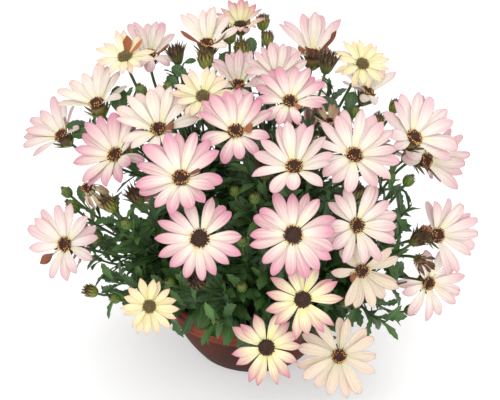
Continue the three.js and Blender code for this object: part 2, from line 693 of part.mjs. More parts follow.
SHOOTS.forEach((shoot, index) => {
  for (let leaf = 0; leaf < LEAVES.perHeart; leaf += 1) {
    growLeaf(index, (turn) => heartLeaf(shoot, leaf, index, turn));
  }
  const carried = heads.filter((head) => carrierOf(head.centre) === index).slice(0, LEAVES.onStalks);
  carried.forEach((head, i) => growLeaf(index, (turn) => stalkLeaf(shoot, head, index * 7 + i, turn)));
});

// ---------------------------------------------------------------- the finished part

const group = new THREE.Group();

function addPiece(name, solid, color, roughness) {
  const material = new THREE.MeshStandardMaterial({ color, roughness, metalness: 0, flatShading: true });
  const piece = new THREE.Mesh(geometryOf(solid), material);
  piece.name = name;
  group.add(piece);
}

addPiece('pot', potPiece, '#8a4631', 0.75);
addPiece('soil', soilPiece, '#2e241c', 1);
shootSolids.forEach((solid, i) => addPiece(`shoot_${i + 1}`, solid, '#3f6234', 0.6));
headSolids.forEach((solid, i) => {
  addPiece(`bloom_${String(i + 1).padStart(2, '0')}`, solid, TINTS[heads[i].tint], 0.6);
});

export default group;
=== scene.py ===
"""An osteospermum (African daisy) in a low terracotta bowl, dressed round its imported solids.

Every shape is worked out in millimetres and scaled to metres as its piece is cast. The plant is
laid out as its solids are: a head or a bud is placed by how far across and up it lies on a plane
that leans back through the plant, and how near it is to someone in front of it.
"""
from __future__ import annotations

import logging
import math
from dataclasses import dataclass
from enum import Enum
from typing import Callable, Mapping, Sequence, Union

import bmesh
import bpy
from mathutils import Matrix, Quaternion, Vector


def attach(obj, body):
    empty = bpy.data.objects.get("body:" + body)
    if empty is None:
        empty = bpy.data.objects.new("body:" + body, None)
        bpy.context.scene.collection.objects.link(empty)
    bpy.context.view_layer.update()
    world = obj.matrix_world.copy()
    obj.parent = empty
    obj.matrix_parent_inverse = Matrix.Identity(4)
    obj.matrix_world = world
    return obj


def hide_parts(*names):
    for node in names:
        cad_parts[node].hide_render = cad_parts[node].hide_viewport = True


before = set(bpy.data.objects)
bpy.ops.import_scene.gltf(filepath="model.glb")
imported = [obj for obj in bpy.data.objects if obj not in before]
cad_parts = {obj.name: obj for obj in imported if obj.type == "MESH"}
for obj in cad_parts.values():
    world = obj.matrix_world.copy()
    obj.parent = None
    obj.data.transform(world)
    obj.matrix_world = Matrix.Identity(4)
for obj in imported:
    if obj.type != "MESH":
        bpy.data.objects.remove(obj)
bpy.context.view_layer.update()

log = logging.getLogger("osteospermum")

MM = 0.001
BODY = "root"
UV_NAME = "growth"

# The layout plane: its lean, how far off the viewer stands, its middle and its directions.
LEAN = math.radians(24.3)
SIGHT = 1010.0
HEART = Vector((-3.0, 0.0, 144.0))
ACROSS = Vector((1.0, 0.0, 0.0))
UP = Vector((0.0, math.sin(LEAN), math.cos(LEAN)))
NEAR = Vector((0.0, -math.cos(LEAN), math.sin(LEAN)))

# Where the shoots fan out from, in the mouth of the pot.
FAN_CENTRE = Vector((0.0, 0.0, 66.0))
SKY = Vector((0.0, 0.0, 1.0))
GOLDEN_ANGLE = math.radians(137.508)

# Uneven factors that make the sine of a pair of numbers jump about evenly.
JUMPS = (12.9898, 78.233, 43758.5453)


# ---------------- small helpers


def wobble(a: float, b: float) -> float:
    """A repeatable value from -1 to 1 for the pair (a, b)."""
    value = math.sin(a * JUMPS[0] + b * JUMPS[1]) * JUMPS[2]
    return 2.0 * (value - math.floor(value)) - 1.0


def blend(low: float, high: float, share: float) -> float:
    """The value that lies `share` of the way from low to high."""
    return low + (high - low) * share


def shrink_at(near: float) -> float:
    """How much smaller a thing is than it looks on the layout plane."""
    return 1.0 - near / SIGHT


def on_layout(across: float, up: float, near: float) -> Vector:
    """The place of a point sighted on the layout plane, in millimetres."""
    scale = shrink_at(near)
    return HEART + ACROSS * (across * scale) + UP * (up * scale) + NEAR * near


def facing(right: float, rise: float) -> Vector:
    """The direction that leans `right` and `rise` from straight at the viewer."""
    out = math.sqrt(max(0.01, 1.0 - right * right - rise * rise))
    return (ACROSS * right + UP * rise + NEAR * out).normalized()


def bearing_vector(degrees: float) -> Vector:
    """The level direction at a bearing: 0 is the front and 90 is +X."""
    turn = math.radians(degrees)
    return Vector((math.sin(turn), -math.cos(turn), 0.0))


def settled(bm: bmesh.types.BMesh, name: str) -> bpy.types.Mesh:
    """Turns a bmesh into a mesh, and frees it.

    Args:
        bm: The bmesh.
        name: The mesh's name.

    Returns:
        The mesh.
    """
    mesh = bpy.data.meshes.new(name)
    bm.to_mesh(mesh)
    bm.free()
    return mesh


def placed(name: str, data: bpy.types.ID) -> bpy.types.Object:
    """Puts a new object in the scene.

    Args:
        name: Its name.
        data: The mesh, light or camera that it holds.

    Returns:
        The object.
    """
    made = bpy.data.objects.new(name, data)
    bpy.context.scene.collection.objects.link(made)
    return made


class Face:
    """The directions across a face that looks along an axis."""

    def __init__(self, axis: Vector) -> None:
        """Finds the level direction and the uphill one.

        Args:
            axis: The way the face looks.
        """
        level = SKY.cross(axis)
        if level.length < 0.01:
            level = ACROSS.copy()
        level.normalize()
        self.level, self.uphill = level, axis.cross(level)

    def around(self, angle: float) -> Vector:
        """The direction at an angle round the face, turned uphill from the level one."""
        return self.level * math.cos(angle) + self.uphill * math.sin(angle)


# ---------------- the plant's layout


class Tint(Enum):
    """The colourings that the heads of one plant pass through as they age."""

    BUTTER = "butter"
    PRIMROSE = "primrose"
    SUNRISE = "sunrise"
    CREAM = "cream"
    BLUSH = "blush"
    ROSE = "rose"
    PEARL = "pearl"
    FADED = "faded"
    SPENT = "spent"
    WITHERED = "withered"

    @property
    def slot(self) -> str:
        """Finds the shared slot for a head of this colouring.

        Returns:
            The slot's name.
        """
        shared = {
            Tint.PRIMROSE: Tint.BUTTER, Tint.SUNRISE: Tint.BUTTER,
            Tint.PEARL: Tint.BLUSH, Tint.WITHERED: Tint.SPENT,
        }
        return f"petal_{shared.get(self, self).value}"


@dataclass(frozen=True)
class Fold:
    """A way in which a petal lies out of its ring and shows its back."""

    length: float  # against the petals beside it, as are its width and its rise
    half: float
    rise: float
    crease: Union[float, None] = None  # the share of its length at which it is creased over the face
    roll: float = 0.0  # degrees round its middle line by the tip
    turned: bool = False  # whether it lies face down from its foot


class Folds(Enum):
    """The folds that single petals of an open head have."""

    STRIP = Fold(0.8, 0.42, 14.0, crease=0.5)
    FLAP = Fold(0.6, 0.92, 14.0, crease=0.54)
    TURNED = Fold(0.74, 0.66, 12.0, turned=True)
    RAISED = Fold(0.66, 1.3, 14.0, turned=True)
    TWISTED = Fold(0.85, 0.85, 0.0, roll=190.0)
    UPRIGHT = Fold(0.66, 0.8, 50.0)


@dataclass(frozen=True)
class Sighted:
    """A head as it is sighted on the layout plane, in millimetres and degrees."""

    across: float  # right of the plant's heart
    up: float  # over it
    near: float  # out towards the viewer
    right: float  # how far its face leans to the right
    rise: float  # how far its face leans upwards
    size: float  # a petal's reach from the centre, as it looks on the plane
    lift: float  # how far the petals rise out of the flat
    tint: Tint
    fan: float = 0.0  # how much more the far petals rise, and the near ones less
    far: float = 90.0  # where round the face the far side lies, from its right
    curl: float = 16.0  # how far a petal turns back over its length
    ripe: float = 0.5  # how far in from the disc's rim its florets have opened
    bare: Union[float, None] = None  # where round the face petals are missing
    count: int = 16  # petals in its ring
    folds: tuple[tuple[float, Folds], ...] = ()  # where round the face a petal is folded, and how


@dataclass(frozen=True)
class Rounded:
    """A head of the sides or the back, by its bearing, reach, height and tilt."""

    bearing: float
    reach: float
    height: float
    tilt: float
    size: float
    lift: float
    tint: Tint


class Stage(Enum):
    """How far a bud has come: closed, with rolled petals at its mouth, or withered unopened."""

    CLOSED = "closed"
    MOUTHED = "mouthed"
    OLD = "old"


@dataclass(frozen=True)
class Budded:
    """A bud as it is sighted on the layout plane."""

    across: float
    up: float
    near: float
    size: float
    stage: Stage = Stage.CLOSED


@dataclass(frozen=True)
class Frond:
    """A broad leaf as it is sighted: its foot's place, its tip's, and half of its greatest width."""

    across: float
    up: float
    near: float
    tip_across: float
    tip_up: float
    half: float

    def foot(self) -> Vector:
        """The place of its foot."""
        return on_layout(self.across, self.up, self.near)

    def tip(self) -> Vector:
        """The place of its tip."""
        return on_layout(self.tip_across, self.tip_up, self.near)


@dataclass(frozen=True)
class Sprout:
    """A leafy shoot: its bearing, how far out its root and its leafy heart lie, and the heart's size."""

    bearing: float
    root: float
    reach: float
    height: float
    size: float

    def heart_place(self) -> Vector:
        """The middle of the leafy heart."""
        return bearing_vector(self.bearing) * self.reach + SKY * self.height

    def root_place(self) -> Vector:
        """Where the root stands, at height nought."""
        return bearing_vector(self.bearing) * self.root

    def outward(self) -> Vector:
        """The way the whole shoot leans out of the pot."""
        return (self.heart_place() - FAN_CENTRE).normalized()


SIGHTED_HEADS = (
    Sighted(-107, 122, 62, -0.1, 0.6, 27, 14, Tint.PRIMROSE, 6, curl=10,
            folds=((78, Folds.RAISED), (42, Folds.TURNED))),
    Sighted(-86, 124, 20, 0.05, 0.7, 31, 32, Tint.BLUSH, 13, folds=((0, Folds.TURNED),)),
    Sighted(-37, 133, 55, -0.05, 0.72, 34, 30, Tint.CREAM, 14, bare=-112,
            folds=((185, Folds.TURNED), (-5, Folds.TURNED))),
    Sighted(-8, 149, 22, 0, 0.74, 25, 34, Tint.SUNRISE, 10, folds=((0, Folds.FLAP),)),
    Sighted(-131, 82, 45, -0.3, 0.72, 37, 28, Tint.CREAM, 14, 105, bare=-55),
    Sighted(-161, 55, 15, -0.5, 0.58, 34, 34, Tint.BLUSH, 7, 130, bare=-30, folds=((55, Folds.TURNED),)),
    Sighted(-115, 38, 94, -0.36, 0.42, 38, 28, Tint.ROSE, 4, 115),
    Sighted(-78, 60, 112, -0.05, 0.56, 39, 28, Tint.CREAM, 11, folds=((-8, Folds.FLAP),)),
    Sighted(-40, 88, 118, 0, 0.52, 28, 18, Tint.PRIMROSE, 2),
    Sighted(-10, 98, 86, 0, 0.74, 31, 30, Tint.BLUSH, 14, folds=((-90, Folds.FLAP),)),
    Sighted(-12, 58, 140, -0.05, 0.56, 39, 28, Tint.ROSE, 11, folds=((3, Folds.FLAP),)),
    Sighted(-59, 18, 158, 0, 0.44, 41, 24, Tint.ROSE, 5, folds=((20, Folds.STRIP),)),
    Sighted(54, 124, 40, 0.05, 0.76, 38, 30, Tint.BLUSH, 15, bare=-100,
            folds=((25, Folds.TURNED), (180, Folds.FLAP), (-8, Folds.FLAP), (235, Folds.UPRIGHT),
                   (300, Folds.UPRIGHT))),
    Sighted(96, 116, 70, 0.2, 0.45, 25, 8, Tint.BUTTER, 2),
    Sighted(100, 92, 22, 0.35, 0.78, 34, 30, Tint.CREAM, 14, 62, bare=-96),
    Sighted(23, 106, 98, 0.1, 0.62, 31, 26, Tint.BLUSH, 8, ripe=0.25),
    Sighted(34, 84, 124, 0.1, 0.5, 33, 22, Tint.ROSE, 5, folds=((-45, Folds.STRIP),)),
    Sighted(38, 28, 160, -0.1, 0.54, 40, 30, Tint.BLUSH, 9, count=13),
    Sighted(89, 38, 130, 0.16, 0.45, 40, 24, Tint.BLUSH, 5, 60),
    Sighted(140, 53, 88, 0.4, 0.42, 40, 26, Tint.PEARL, 6, 50, bare=242),
    Sighted(150, 34, 38, 0.6, -0.2, 38, 26, Tint.BLUSH, 10, -16, bare=242, count=14,
            folds=((215, Folds.UPRIGHT),)),
    Sighted(-158, -38, 50, -0.32, 0.12, 35, 20, Tint.PEARL, 4, count=14, folds=((238, Folds.TWISTED),)),
    Sighted(-43, -33, 150, 0, 0.08, 37, 8, Tint.ROSE, ripe=0.16),
    Sighted(-86, -91, 112, 0, 0, 25, 3, Tint.BUTTER, curl=8),
    Sighted(37, -30, 152, 0, 0.1, 38, 8, Tint.ROSE, ripe=0.16),
    Sighted(91, -22, 122, 0.28, 0.1, 36, 20, Tint.BLUSH, 6, 16),
    Sighted(160, -30, 48, 0.54, 0.05, 36, 26, Tint.PEARL, 7, 6, bare=205, folds=((150, Folds.TWISTED),)),
    Sighted(95, -60, 96, 0.36, -0.34, 35, 20, Tint.FADED, 12, -46, curl=30, count=13,
            folds=((195, Folds.FLAP),)),
    Sighted(152, -71, 28, 0.44, -0.2, 33, 16, Tint.BLUSH, 7, -30, curl=24, count=12),
    Sighted(45, -85, 132, 0, 0, 33, 4, Tint.SUNRISE, curl=8),
    Sighted(14, -126, 106, 0, -0.05, 32, 2, Tint.SUNRISE, curl=8, count=14),
    Sighted(76, -133, 84, 0.12, -0.12, 35, 4, Tint.FADED, curl=12),
    Sighted(-139, 10, 62, -0.34, 0.5, 24, -12, Tint.SPENT, curl=36),
    Sighted(68, 66, 96, -0.1, 0.5, 20, 50, Tint.SPENT, curl=-20),
    Sighted(146, -52, 84, 0.25, -0.3, 18, 50, Tint.WITHERED, curl=-40),
)

ROUNDED_HEADS = tuple(Rounded(*row) for row in (
    (124, 130, 166, 50, 34, 16, Tint.BLUSH), (152, 92, 212, 82, 31, 14, Tint.CREAM),
    (158, 145, 152, 30, 36, 12, Tint.ROSE), (-158, 112, 198, 58, 33, 18, Tint.BLUSH),
    (-128, 148, 154, 30, 35, 20, Tint.CREAM), (-170, 158, 172, 24, 34, 10, Tint.BLUSH),
    (-102, 150, 92, 8, 31, 14, Tint.ROSE), (168, 150, 104, 6, 33, 5, Tint.SUNRISE),
    (112, 156, 163, 20, 35, 18, Tint.ROSE), (138, 148, 92, 2, 29, 3, Tint.BUTTER),
    (-145, 146, 100, 4, 32, 4, Tint.BLUSH),
))

BUDS = tuple(Budded(*row) for row in (
    (-63, 124, 40, 6.6, Stage.OLD), (-38, 120, 84, 6.4, Stage.MOUTHED), (-7, 129, 56, 6.2, Stage.MOUTHED),
    (11, 152, 12, 5.2, Stage.MOUTHED), (66, 117, 76, 7.4, Stage.OLD), (-18, 141, 48, 5.8, Stage.MOUTHED),
    (15, 138, 34, 4.8, Stage.MOUTHED), (-93, 94, 72, 4.8), (-70, 97, 64, 4.2),
    (124, 80, 40, 4.8, Stage.MOUTHED), (90, 76, 84, 4.2), (90, 7, 98, 5.6, Stage.MOUTHED),
    (136, 17, 70, 4.8), (-152, -5, 34, 5.6), (-131, -30, 34, 4.4), (-106, -20, 86, 4.8),
    (-136, -78, 36, 5.0, Stage.MOUTHED), (-116, -84, 62, 4.4), (-29, -103, 84, 4.8), (-7, -74, 104, 4.6),
    (4, 2, 118, 4.8), (138, -94, 6, 4.8), (-157, 7, 14, 4.4), (144, -33, 86, 7.0, Stage.OLD),
    (109, 68, 50, 5.0, Stage.MOUTHED), (82, -88, 80, 4.2), (-120, -4, 84, 6.0, Stage.MOUTHED),
))

# Buds that stand deep among the leaves.
DEEP_BUDS = tuple(Budded(*row) for row in (
    (-97, 3, 84, 7.0, Stage.OLD), (13, 25, 112, 7.4, Stage.OLD), (-44, -70, 112, 7.0, Stage.OLD),
    (-7, -35, 116, 4.6), (-69, -70, 100, 4.2), (-13, 8, 108, 4.4),
))

# Leafy tips between and beyond the heads: across, up and near.
SPRIGS = (
    (90, 84, 44), (72, 92, 20), (-104, 84, 26), (-62, 104, 40), (-138, 60, 6), (-20, 118, 30),
    (-120, -4, 50), (-100, -30, 70), (-134, -48, 30), (-116, -70, 50), (138, -4, 60), (120, 8, 40),
    (134, -70, 44), (116, -104, 62), (128, -30, 70), (-60, -88, 96), (-30, -104, 96), (-8, 66, 90),
)

# Broad leaves that stand out against the light between the heads.
FRONDS = tuple(Frond(*row) for row in (
    (-61.6, 96.7, 50, -70.6, 106.0, 4.4), (-53.0, 105.0, 44, -66.5, 114.0, 5.4),
    (-110.0, 72.0, 50, -113.5, 97.0, 8.0), (-98.4, 69.9, 60, -104.0, 81.0, 4.2),
    (-136.2, 64.6, 30, -157.0, 63.4, 4.6), (-130.5, 57.0, 36, -152.0, 56.0, 5.6),
    (2.6, 124.6, 40, 0.4, 139.0, 4.8), (-28.2, 112.6, 50, -18.0, 126.6, 4.6),
    (-56.5, 117.2, 46, -46.4, 119.8, 2.8), (77.3, 70.4, 66, 61.3, 88.0, 6.6),
    (83.8, 75.0, 60, 88.0, 92.4, 5.6), (-142.0, -3.0, 30, -145.8, 12.0, 4.0),
))

# Six shoots that lean out round the pot, and three that stand up in its middle.
SPROUTS = tuple(Sprout(bearing, 34, 70, 95, 36) for bearing in (0, 60, 120, 180, -120, -60)) + tuple(
    Sprout(bearing, 15, 38, 142, 32) for bearing in (30, 150, -90))


# How clear of a head leaves keep: behind its face, before it, and out from its axis against its size.
HEAD_BEHIND, HEAD_BEFORE, HEAD_ASIDE = 7.0, 70.0, 1.02

# How clear of a bud they keep, before it and aside, as the viewer looks at it.
BUD_BEFORE, BUD_ASIDE = 60.0, 1.6

# A head's bare stretch reaches 48 degrees to either side of its middle.
BARE_REACH = math.cos(math.radians(48.0))

# The curl of the petals and the ripeness of the disc of heads of the sides and the back.
ROUNDED_CURL, ROUNDED_RIPE = 14.0, 0.4


def in_column(place: Vector, foot: Vector, axis: Vector, low: float, high: float, radius: float) -> bool:
    """Whether a place lies in a round column, between two heights over its foot."""
    height = (place - foot).dot(axis)
    return low < height < high and (place - foot - axis * height).length < radius


@dataclass(frozen=True)
class Head:
    """An open head where it stands: its centre, the way it faces, its size and its petals."""

    centre: Vector
    axis: Vector
    size: float
    lift: float
    tint: Tint
    fan: float
    far: float
    curl: float
    ripe: float
    bare: Union[float, None] = None
    count: int = 16
    folds: tuple[tuple[float, Folds], ...] = ()

    @property
    def unripe(self) -> bool:
        """Whether none of the disc's florets has opened yet."""
        return self.tint in (Tint.BUTTER, Tint.PRIMROSE, Tint.SUNRISE)

    @property
    def shrivelled(self) -> bool:
        """Whether its petals have dried."""
        return self.tint in (Tint.SPENT, Tint.WITHERED)

    @classmethod
    def sighted(cls, row: Sighted) -> Head:
        """Places a head that is given on the layout plane.

        Args:
            row: The head's row.

        Returns:
            The head.
        """
        return cls(
            on_layout(row.across, row.up, row.near), facing(row.right, row.rise),
            row.size * shrink_at(row.near), row.lift, row.tint, row.fan, math.radians(row.far),
            row.curl, row.ripe, row.bare, row.count, row.folds,
        )

    @classmethod
    def rounded(cls, row: Rounded) -> Head:
        """Places a head of the sides or the back.

        Args:
            row: The head's row.

        Returns:
            The head.
        """
        out, tilt = bearing_vector(row.bearing), math.radians(row.tilt)
        return cls(
            out * row.reach + SKY * row.height, out * math.cos(tilt) + SKY * math.sin(tilt),
            row.size, row.lift, row.tint, 0.0, math.pi / 2, ROUNDED_CURL, ROUNDED_RIPE,
        )

    def hides(self, place: Vector) -> bool:
        """Whether a leaf at this place would cross the head or stand before its face."""
        reach = self.size * HEAD_ASIDE
        return in_column(place, self.centre, self.axis, -HEAD_BEHIND, HEAD_BEFORE, reach)

    def is_bare(self, angle: float) -> bool:
        """Whether the petals at an angle round the face are missing."""
        return self.bare is not None and math.cos(angle - math.radians(self.bare)) > BARE_REACH


@dataclass(frozen=True)
class Bud:
    """A bud where it stands, with the way it points and its radius."""

    centre: Vector
    axis: Vector
    size: float
    stage: Stage

    @classmethod
    def sighted(cls, row: Budded) -> Bud:
        """Places a bud that is given on the layout plane.

        Args:
            row: The bud's row.

        Returns:
            The bud.
        """
        centre = on_layout(row.across, row.up, row.near)
        axis = ((centre - FAN_CENTRE).normalized() + SKY * 0.5).normalized()
        return cls(centre, axis, row.size * shrink_at(row.near), row.stage)

    def hides(self, place: Vector) -> bool:
        """Whether a leaf at this place would cross the bud or stand before it."""
        return in_column(place, self.centre, NEAR, -self.size, BUD_BEFORE, self.size * BUD_ASIDE)


def carrier_of(place: Vector) -> int:
    """Finds the shoot that points most nearly at a place.

    Args:
        place: The place.

    Returns:
        The shoot's number, from 1.
    """
    towards = (place - FAN_CENTRE).normalized()
    closeness = [sprout.outward().dot(towards) for sprout in SPROUTS]
    return closeness.index(max(closeness)) + 1


@dataclass(frozen=True)
class Route:
    """A stalk's way from the heart of its shoot to what it carries."""

    start: Vector
    leave: Vector
    arrive: Vector
    end: Vector

    @classmethod
    def stalk(cls, sprout: Sprout, end: Vector, axis: Vector) -> Route:
        """Lays a stalk that leaves its heart straight and arrives along an axis.

        Args:
            sprout: The shoot that it grows on.
            end: Where it ends.
            axis: The way it points there.

        Returns:
            The stalk's way.
        """
        heart = sprout.heart_place()
        start = heart + (end - heart).normalized() * 12.0
        outward = (end - start).normalized()
        span = (end - start).length
        return cls(start, start + outward * (span * 0.35), end - axis * (span * 0.33), end)

    def at(self, share: float) -> Vector:
        """Finds a point on the curve.

        Args:
            share: The curve's parameter, from 0 at its start to 1 at its end.

        Returns:
            The point.
        """
        rest = 1.0 - share
        return (
            self.start * rest ** 3 + self.leave * (3 * rest * rest * share)
            + self.arrive * (3 * rest * share * share) + self.end * share ** 3
        )

    def points(self, steps: int) -> list[Vector]:
        """Points from its start to its end, one more than there are steps."""
        return [self.at(i / steps) for i in range(steps + 1)]

    def way(self, share: float) -> Vector:
        """The direction of travel at a share of the curve."""
        return (self.at(min(1.0, share + 0.01)) - self.at(max(0.0, share - 0.01))).normalized()


# ---------------- casting pieces


@dataclass(frozen=True)
class Row:
    """One row across a blade, at a share of its length."""

    share: float
    middle: Vector
    side: Vector  # the way across
    normal: Vector  # the way out of the upper face
    half: float  # half of its width


class Blade:
    """A thin grown blade, such as a petal, leaf or bract, as a list of rows across it."""

    def __init__(self, rows: Sequence[Row]) -> None:
        """Takes the rows from foot to tip."""
        self.rows = rows

    @classmethod
    def bent(cls, root: Vector, along: Vector, normal: Vector, length: float,
             outline: Sequence[tuple[float, float]], half: float, bend: Callable[[float], float],
             twist: float = 0.0, sway: float = 0.0) -> Blade:
        """Lays a blade along a bending middle line.

        Args:
            root: Where the blade starts.
            along: The way it sets out.
            normal: The way its upper face looks at the root.
            length: Its length along the middle line.
            outline: For each row, the share of the length and of the half width.
            half: Half of its greatest width.
            bend: The angle that it has turned down through, at a share of the length.
            twist: The angle that it turns about its middle line by the tip.
            sway: The angle that it turns sideways by the tip.

        Returns:
            The blade.
        """
        side = along.cross(normal).normalized()
        lift = side.cross(along).normalized()
        rows: list[Row] = []
        middle, last = root.copy(), 0.0
        for share, width in outline:
            half_way = cls._turned(along, side, lift, bend(blend(last, share, 0.5)), sway * share)
            middle = middle + half_way[0] * ((share - last) * length)
            way, level, over = cls._turned(along, side, lift, bend(share), sway * share)
            roll = Quaternion(way, twist * share)
            rows.append(Row(share, middle, roll @ level, roll @ over, half * width))
            last = share
        return cls(rows)

    @staticmethod
    def _turned(along: Vector, side: Vector, lift: Vector, down: float,
                sideways: float) -> tuple[Vector, Vector, Vector]:
        """Turns a blade's directions down and sideways.

        Args:
            along: The way it set out.
            side: The way across it.
            lift: The way out of its face.
            down: The angle that it has turned down through.
            sideways: The angle that it has turned sideways through.

        Returns:
            The ways along it, across it and out of its face.
        """
        ahead = along * math.cos(sideways) + side * math.sin(sideways)
        level = side * math.cos(sideways) - along * math.sin(sideways)
        out = lift * math.cos(down) + ahead * math.sin(down)
        return ahead * math.cos(down) - lift * math.sin(down), level, out

    @classmethod
    def draped(cls, middles: Sequence[Vector], outward: Vector, outline: Sequence[tuple[float, float]],
               half: float) -> Blade:
        """Lays a blade along given points, with its face outwards.

        Args:
            middles: The middle of each row.
            outward: Roughly the way that the face looks.
            outline: For each row, the share of the length and of the half width.
            half: Half of its greatest width.

        Returns:
            The blade.
        """
        last = len(middles) - 1
        rows: list[Row] = []
        for i, (share, width) in enumerate(outline):
            way = (middles[min(i + 1, last)] - middles[max(i - 1, 0)]).normalized()
            side = way.cross(outward).normalized()
            rows.append(Row(share, middles[i], side, side.cross(way), half * width))
        return cls(rows)

    def middle_at(self, share: float) -> Vector:
        """The middle of the row nearest to a share of the rows."""
        return self.rows[round(share * (len(self.rows) - 1))].middle


class Mould:
    """Gathers one piece's faces in millimetres and casts them as an object in metres.

    The faces are worked on in small batches, because each mesh operator takes as long as the mesh
    that it works in is large.
    """

    BATCH = 900  # after how many faces the next grown thing opens a batch of its own
    TAGS = 200  # after how many grown things their numbers start again
    UV_HALF = 0.48  # how far from the middle of its unit of the UV map a blade's edge lies

    def __init__(self) -> None:
        """Opens an empty batch with one UV map."""
        self.batches: list[bpy.types.Mesh] = []
        self.tags = 0
        self._open_batch()

    def _open_batch(self) -> None:
        """Opens the next batch."""
        self.bm = bmesh.new()
        self.uv = self.bm.loops.layers.uv.new(UV_NAME)

    def _close_batch(self) -> None:
        """Puts the batch aside, with its faces turned outwards."""
        bmesh.ops.recalc_face_normals(self.bm, faces=self.bm.faces[:])
        self.batches.append(settled(self.bm, "batch"))

    def next_tag(self) -> int:
        """Moves on to the next grown thing.

        Returns:
            Its number, which shifts its place in the UV map.
        """
        if len(self.bm.faces) > self.BATCH:
            self._close_batch()
            self._open_batch()
        self.tags += 1
        return self.tags % self.TAGS

    @staticmethod
    def dress(verts: Sequence[bmesh.types.BMVert], slot: int) -> list[bmesh.types.BMFace]:
        """Smooths the faces at new points and gives them their material.

        Args:
            verts: The points.
            slot: The number of the material.

        Returns:
            The faces.
        """
        faces = list({face for vert in verts for face in vert.link_faces})
        for face in faces:
            face.material_index = slot
            face.smooth = True
        return faces

    def spin(self, section: Sequence[tuple[float, float]], steps: int) -> None:
        """Turns a section into a round form.

        Args:
            section: Radii and heights, from the axis to the axis.
            steps: The faces round the form.
        """
        line = [self.bm.verts.new((radius, 0.0, height)) for radius, height in section]
        edges = [self.bm.edges.new(pair) for pair in zip(line, line[1:])]
        bmesh.ops.spin(
            self.bm, geom=line + edges, axis=SKY, cent=Vector(), angle=2 * math.pi, steps=steps,
            use_merge=True,
        )
        bmesh.ops.remove_doubles(self.bm, verts=self.bm.verts[:], dist=1e-3)
        self.dress(self.bm.verts, 0)

    def sheet(self, blade: Blade, columns: int, shape: Callable[[Row, float], Vector],
              slot: int, tag: int, flip: bool = False) -> list[bmesh.types.BMVert]:
        """Lays a grid of faces over the rows of a blade.

        Args:
            blade: The rows.
            columns: The faces across.
            shape: Gives the place for a row and a place across it, from -1 to 1.
            slot: The number of its material.
            tag: The whole number that its UV places are shifted by.
            flip: Whether its faces look the other way.

        Returns:
            The grid's points.
        """
        last = len(blade.rows) - 1
        made = bmesh.ops.create_grid(self.bm, x_segments=columns, y_segments=last, size=0.5)["verts"]
        marks = {vert: (2.0 * vert.co.x, blade.rows[round((vert.co.y + 0.5) * last)]) for vert in made}
        faces = self.dress(made, slot)
        for vert, (out, row) in marks.items():
            vert.co = shape(row, out)
        for loop in (loop for face in faces for loop in face.loops):
            out, row = marks[loop.vert]
            loop[self.uv].uv = (tag + 0.5 + self.UV_HALF * out, row.share)
        if flip:
            bmesh.ops.reverse_faces(self.bm, faces=faces)
        return made

    def blade(self, blade: Blade, columns: int, thickness: float, slots: tuple[int, int],
              profile: Callable[[float, float], float]) -> None:
        """Casts a blade as two sheets that meet at its edge.

        Args:
            blade: The rows that it is laid along.
            columns: The faces across each side.
            thickness: Its thickness in the middle.
            slots: The numbers of its upper and its lower material.
            profile: The rise of the section for a place across (-1 to 1) and a share along.
        """
        tag = self.next_tag()

        def place(row: Row, out: float, sink: float) -> Vector:
            """Places a point of one sheet, or of both where they meet at the edge.

            Args:
                row: Its row.
                out: Its place across, from -1 to 1.
                sink: How far the sheet lies under the upper one.

            Returns:
                Its place.
            """
            inside = 0.0 if abs(out) > 0.99 or row.share in (0.0, 1.0) else 1.0
            rise = profile(out, row.share) * row.half - sink * inside
            return row.middle + row.side * (out * row.half) + row.normal * rise

        upper = self.sheet(blade, columns, lambda row, out: place(row, out, 0.0), slots[0], tag)
        lower = self.sheet(
            blade, columns, lambda row, out: place(row, out, thickness), slots[1], tag, True)
        rim = [vert for vert in upper + lower if vert.is_boundary]
        for vert in rim:
            for edge in vert.link_edges:
                if edge.is_boundary:
                    edge.smooth = False
        bmesh.ops.remove_doubles(self.bm, verts=rim, dist=1e-4)

    def tube(self, points: Sequence[Vector], radii: Sequence[float], sides: int, slot: int) -> None:
        """Casts a closed round tube through points.

        Args:
            points: The middle line.
            radii: The radius at each point.
            sides: The faces round it.
            slot: The number of its material.
        """
        tag = self.next_tag()
        count = len(points)
        ways = [(points[min(i + 1, count - 1)] - points[max(i - 1, 0)]).normalized() for i in range(count)]
        ring = bmesh.ops.create_circle(self.bm, cap_ends=True, segments=sides, radius=radii[0])["verts"]
        frame_now = ways[0].to_track_quat("Z", "Y")
        for vert in ring:
            vert.co = points[0] + frame_now @ vert.co
        first_cap = ring[0].link_faces[0]
        first_cap.material_index = slot
        bmesh.ops.reverse_faces(self.bm, faces=[first_cap])
        edges = list(first_cap.edges)
        for i in range(1, count):
            made = bmesh.ops.extrude_edge_only(self.bm, edges=edges)["geom"]
            ring = [part for part in made if isinstance(part, bmesh.types.BMVert)]
            edges = [part for part in made if isinstance(part, bmesh.types.BMEdge)]
            turn = ways[i - 1].rotation_difference(ways[i])
            swell = radii[i] / radii[i - 1]
            for vert in ring:
                vert.co = points[i] + turn @ ((vert.co - points[i - 1]) * swell)
            for face in (part for part in made if isinstance(part, bmesh.types.BMFace)):
                face.material_index = slot
                face.smooth = True
                for loop in face.loops:
                    near_end = loop.vert in ring
                    loop[self.uv].uv = (tag + 0.5, (i if near_end else i - 1) / (count - 1))
        cap = bmesh.ops.contextual_create(self.bm, geom=edges)["faces"][0]
        cap.material_index = slot
        cap.smooth = True

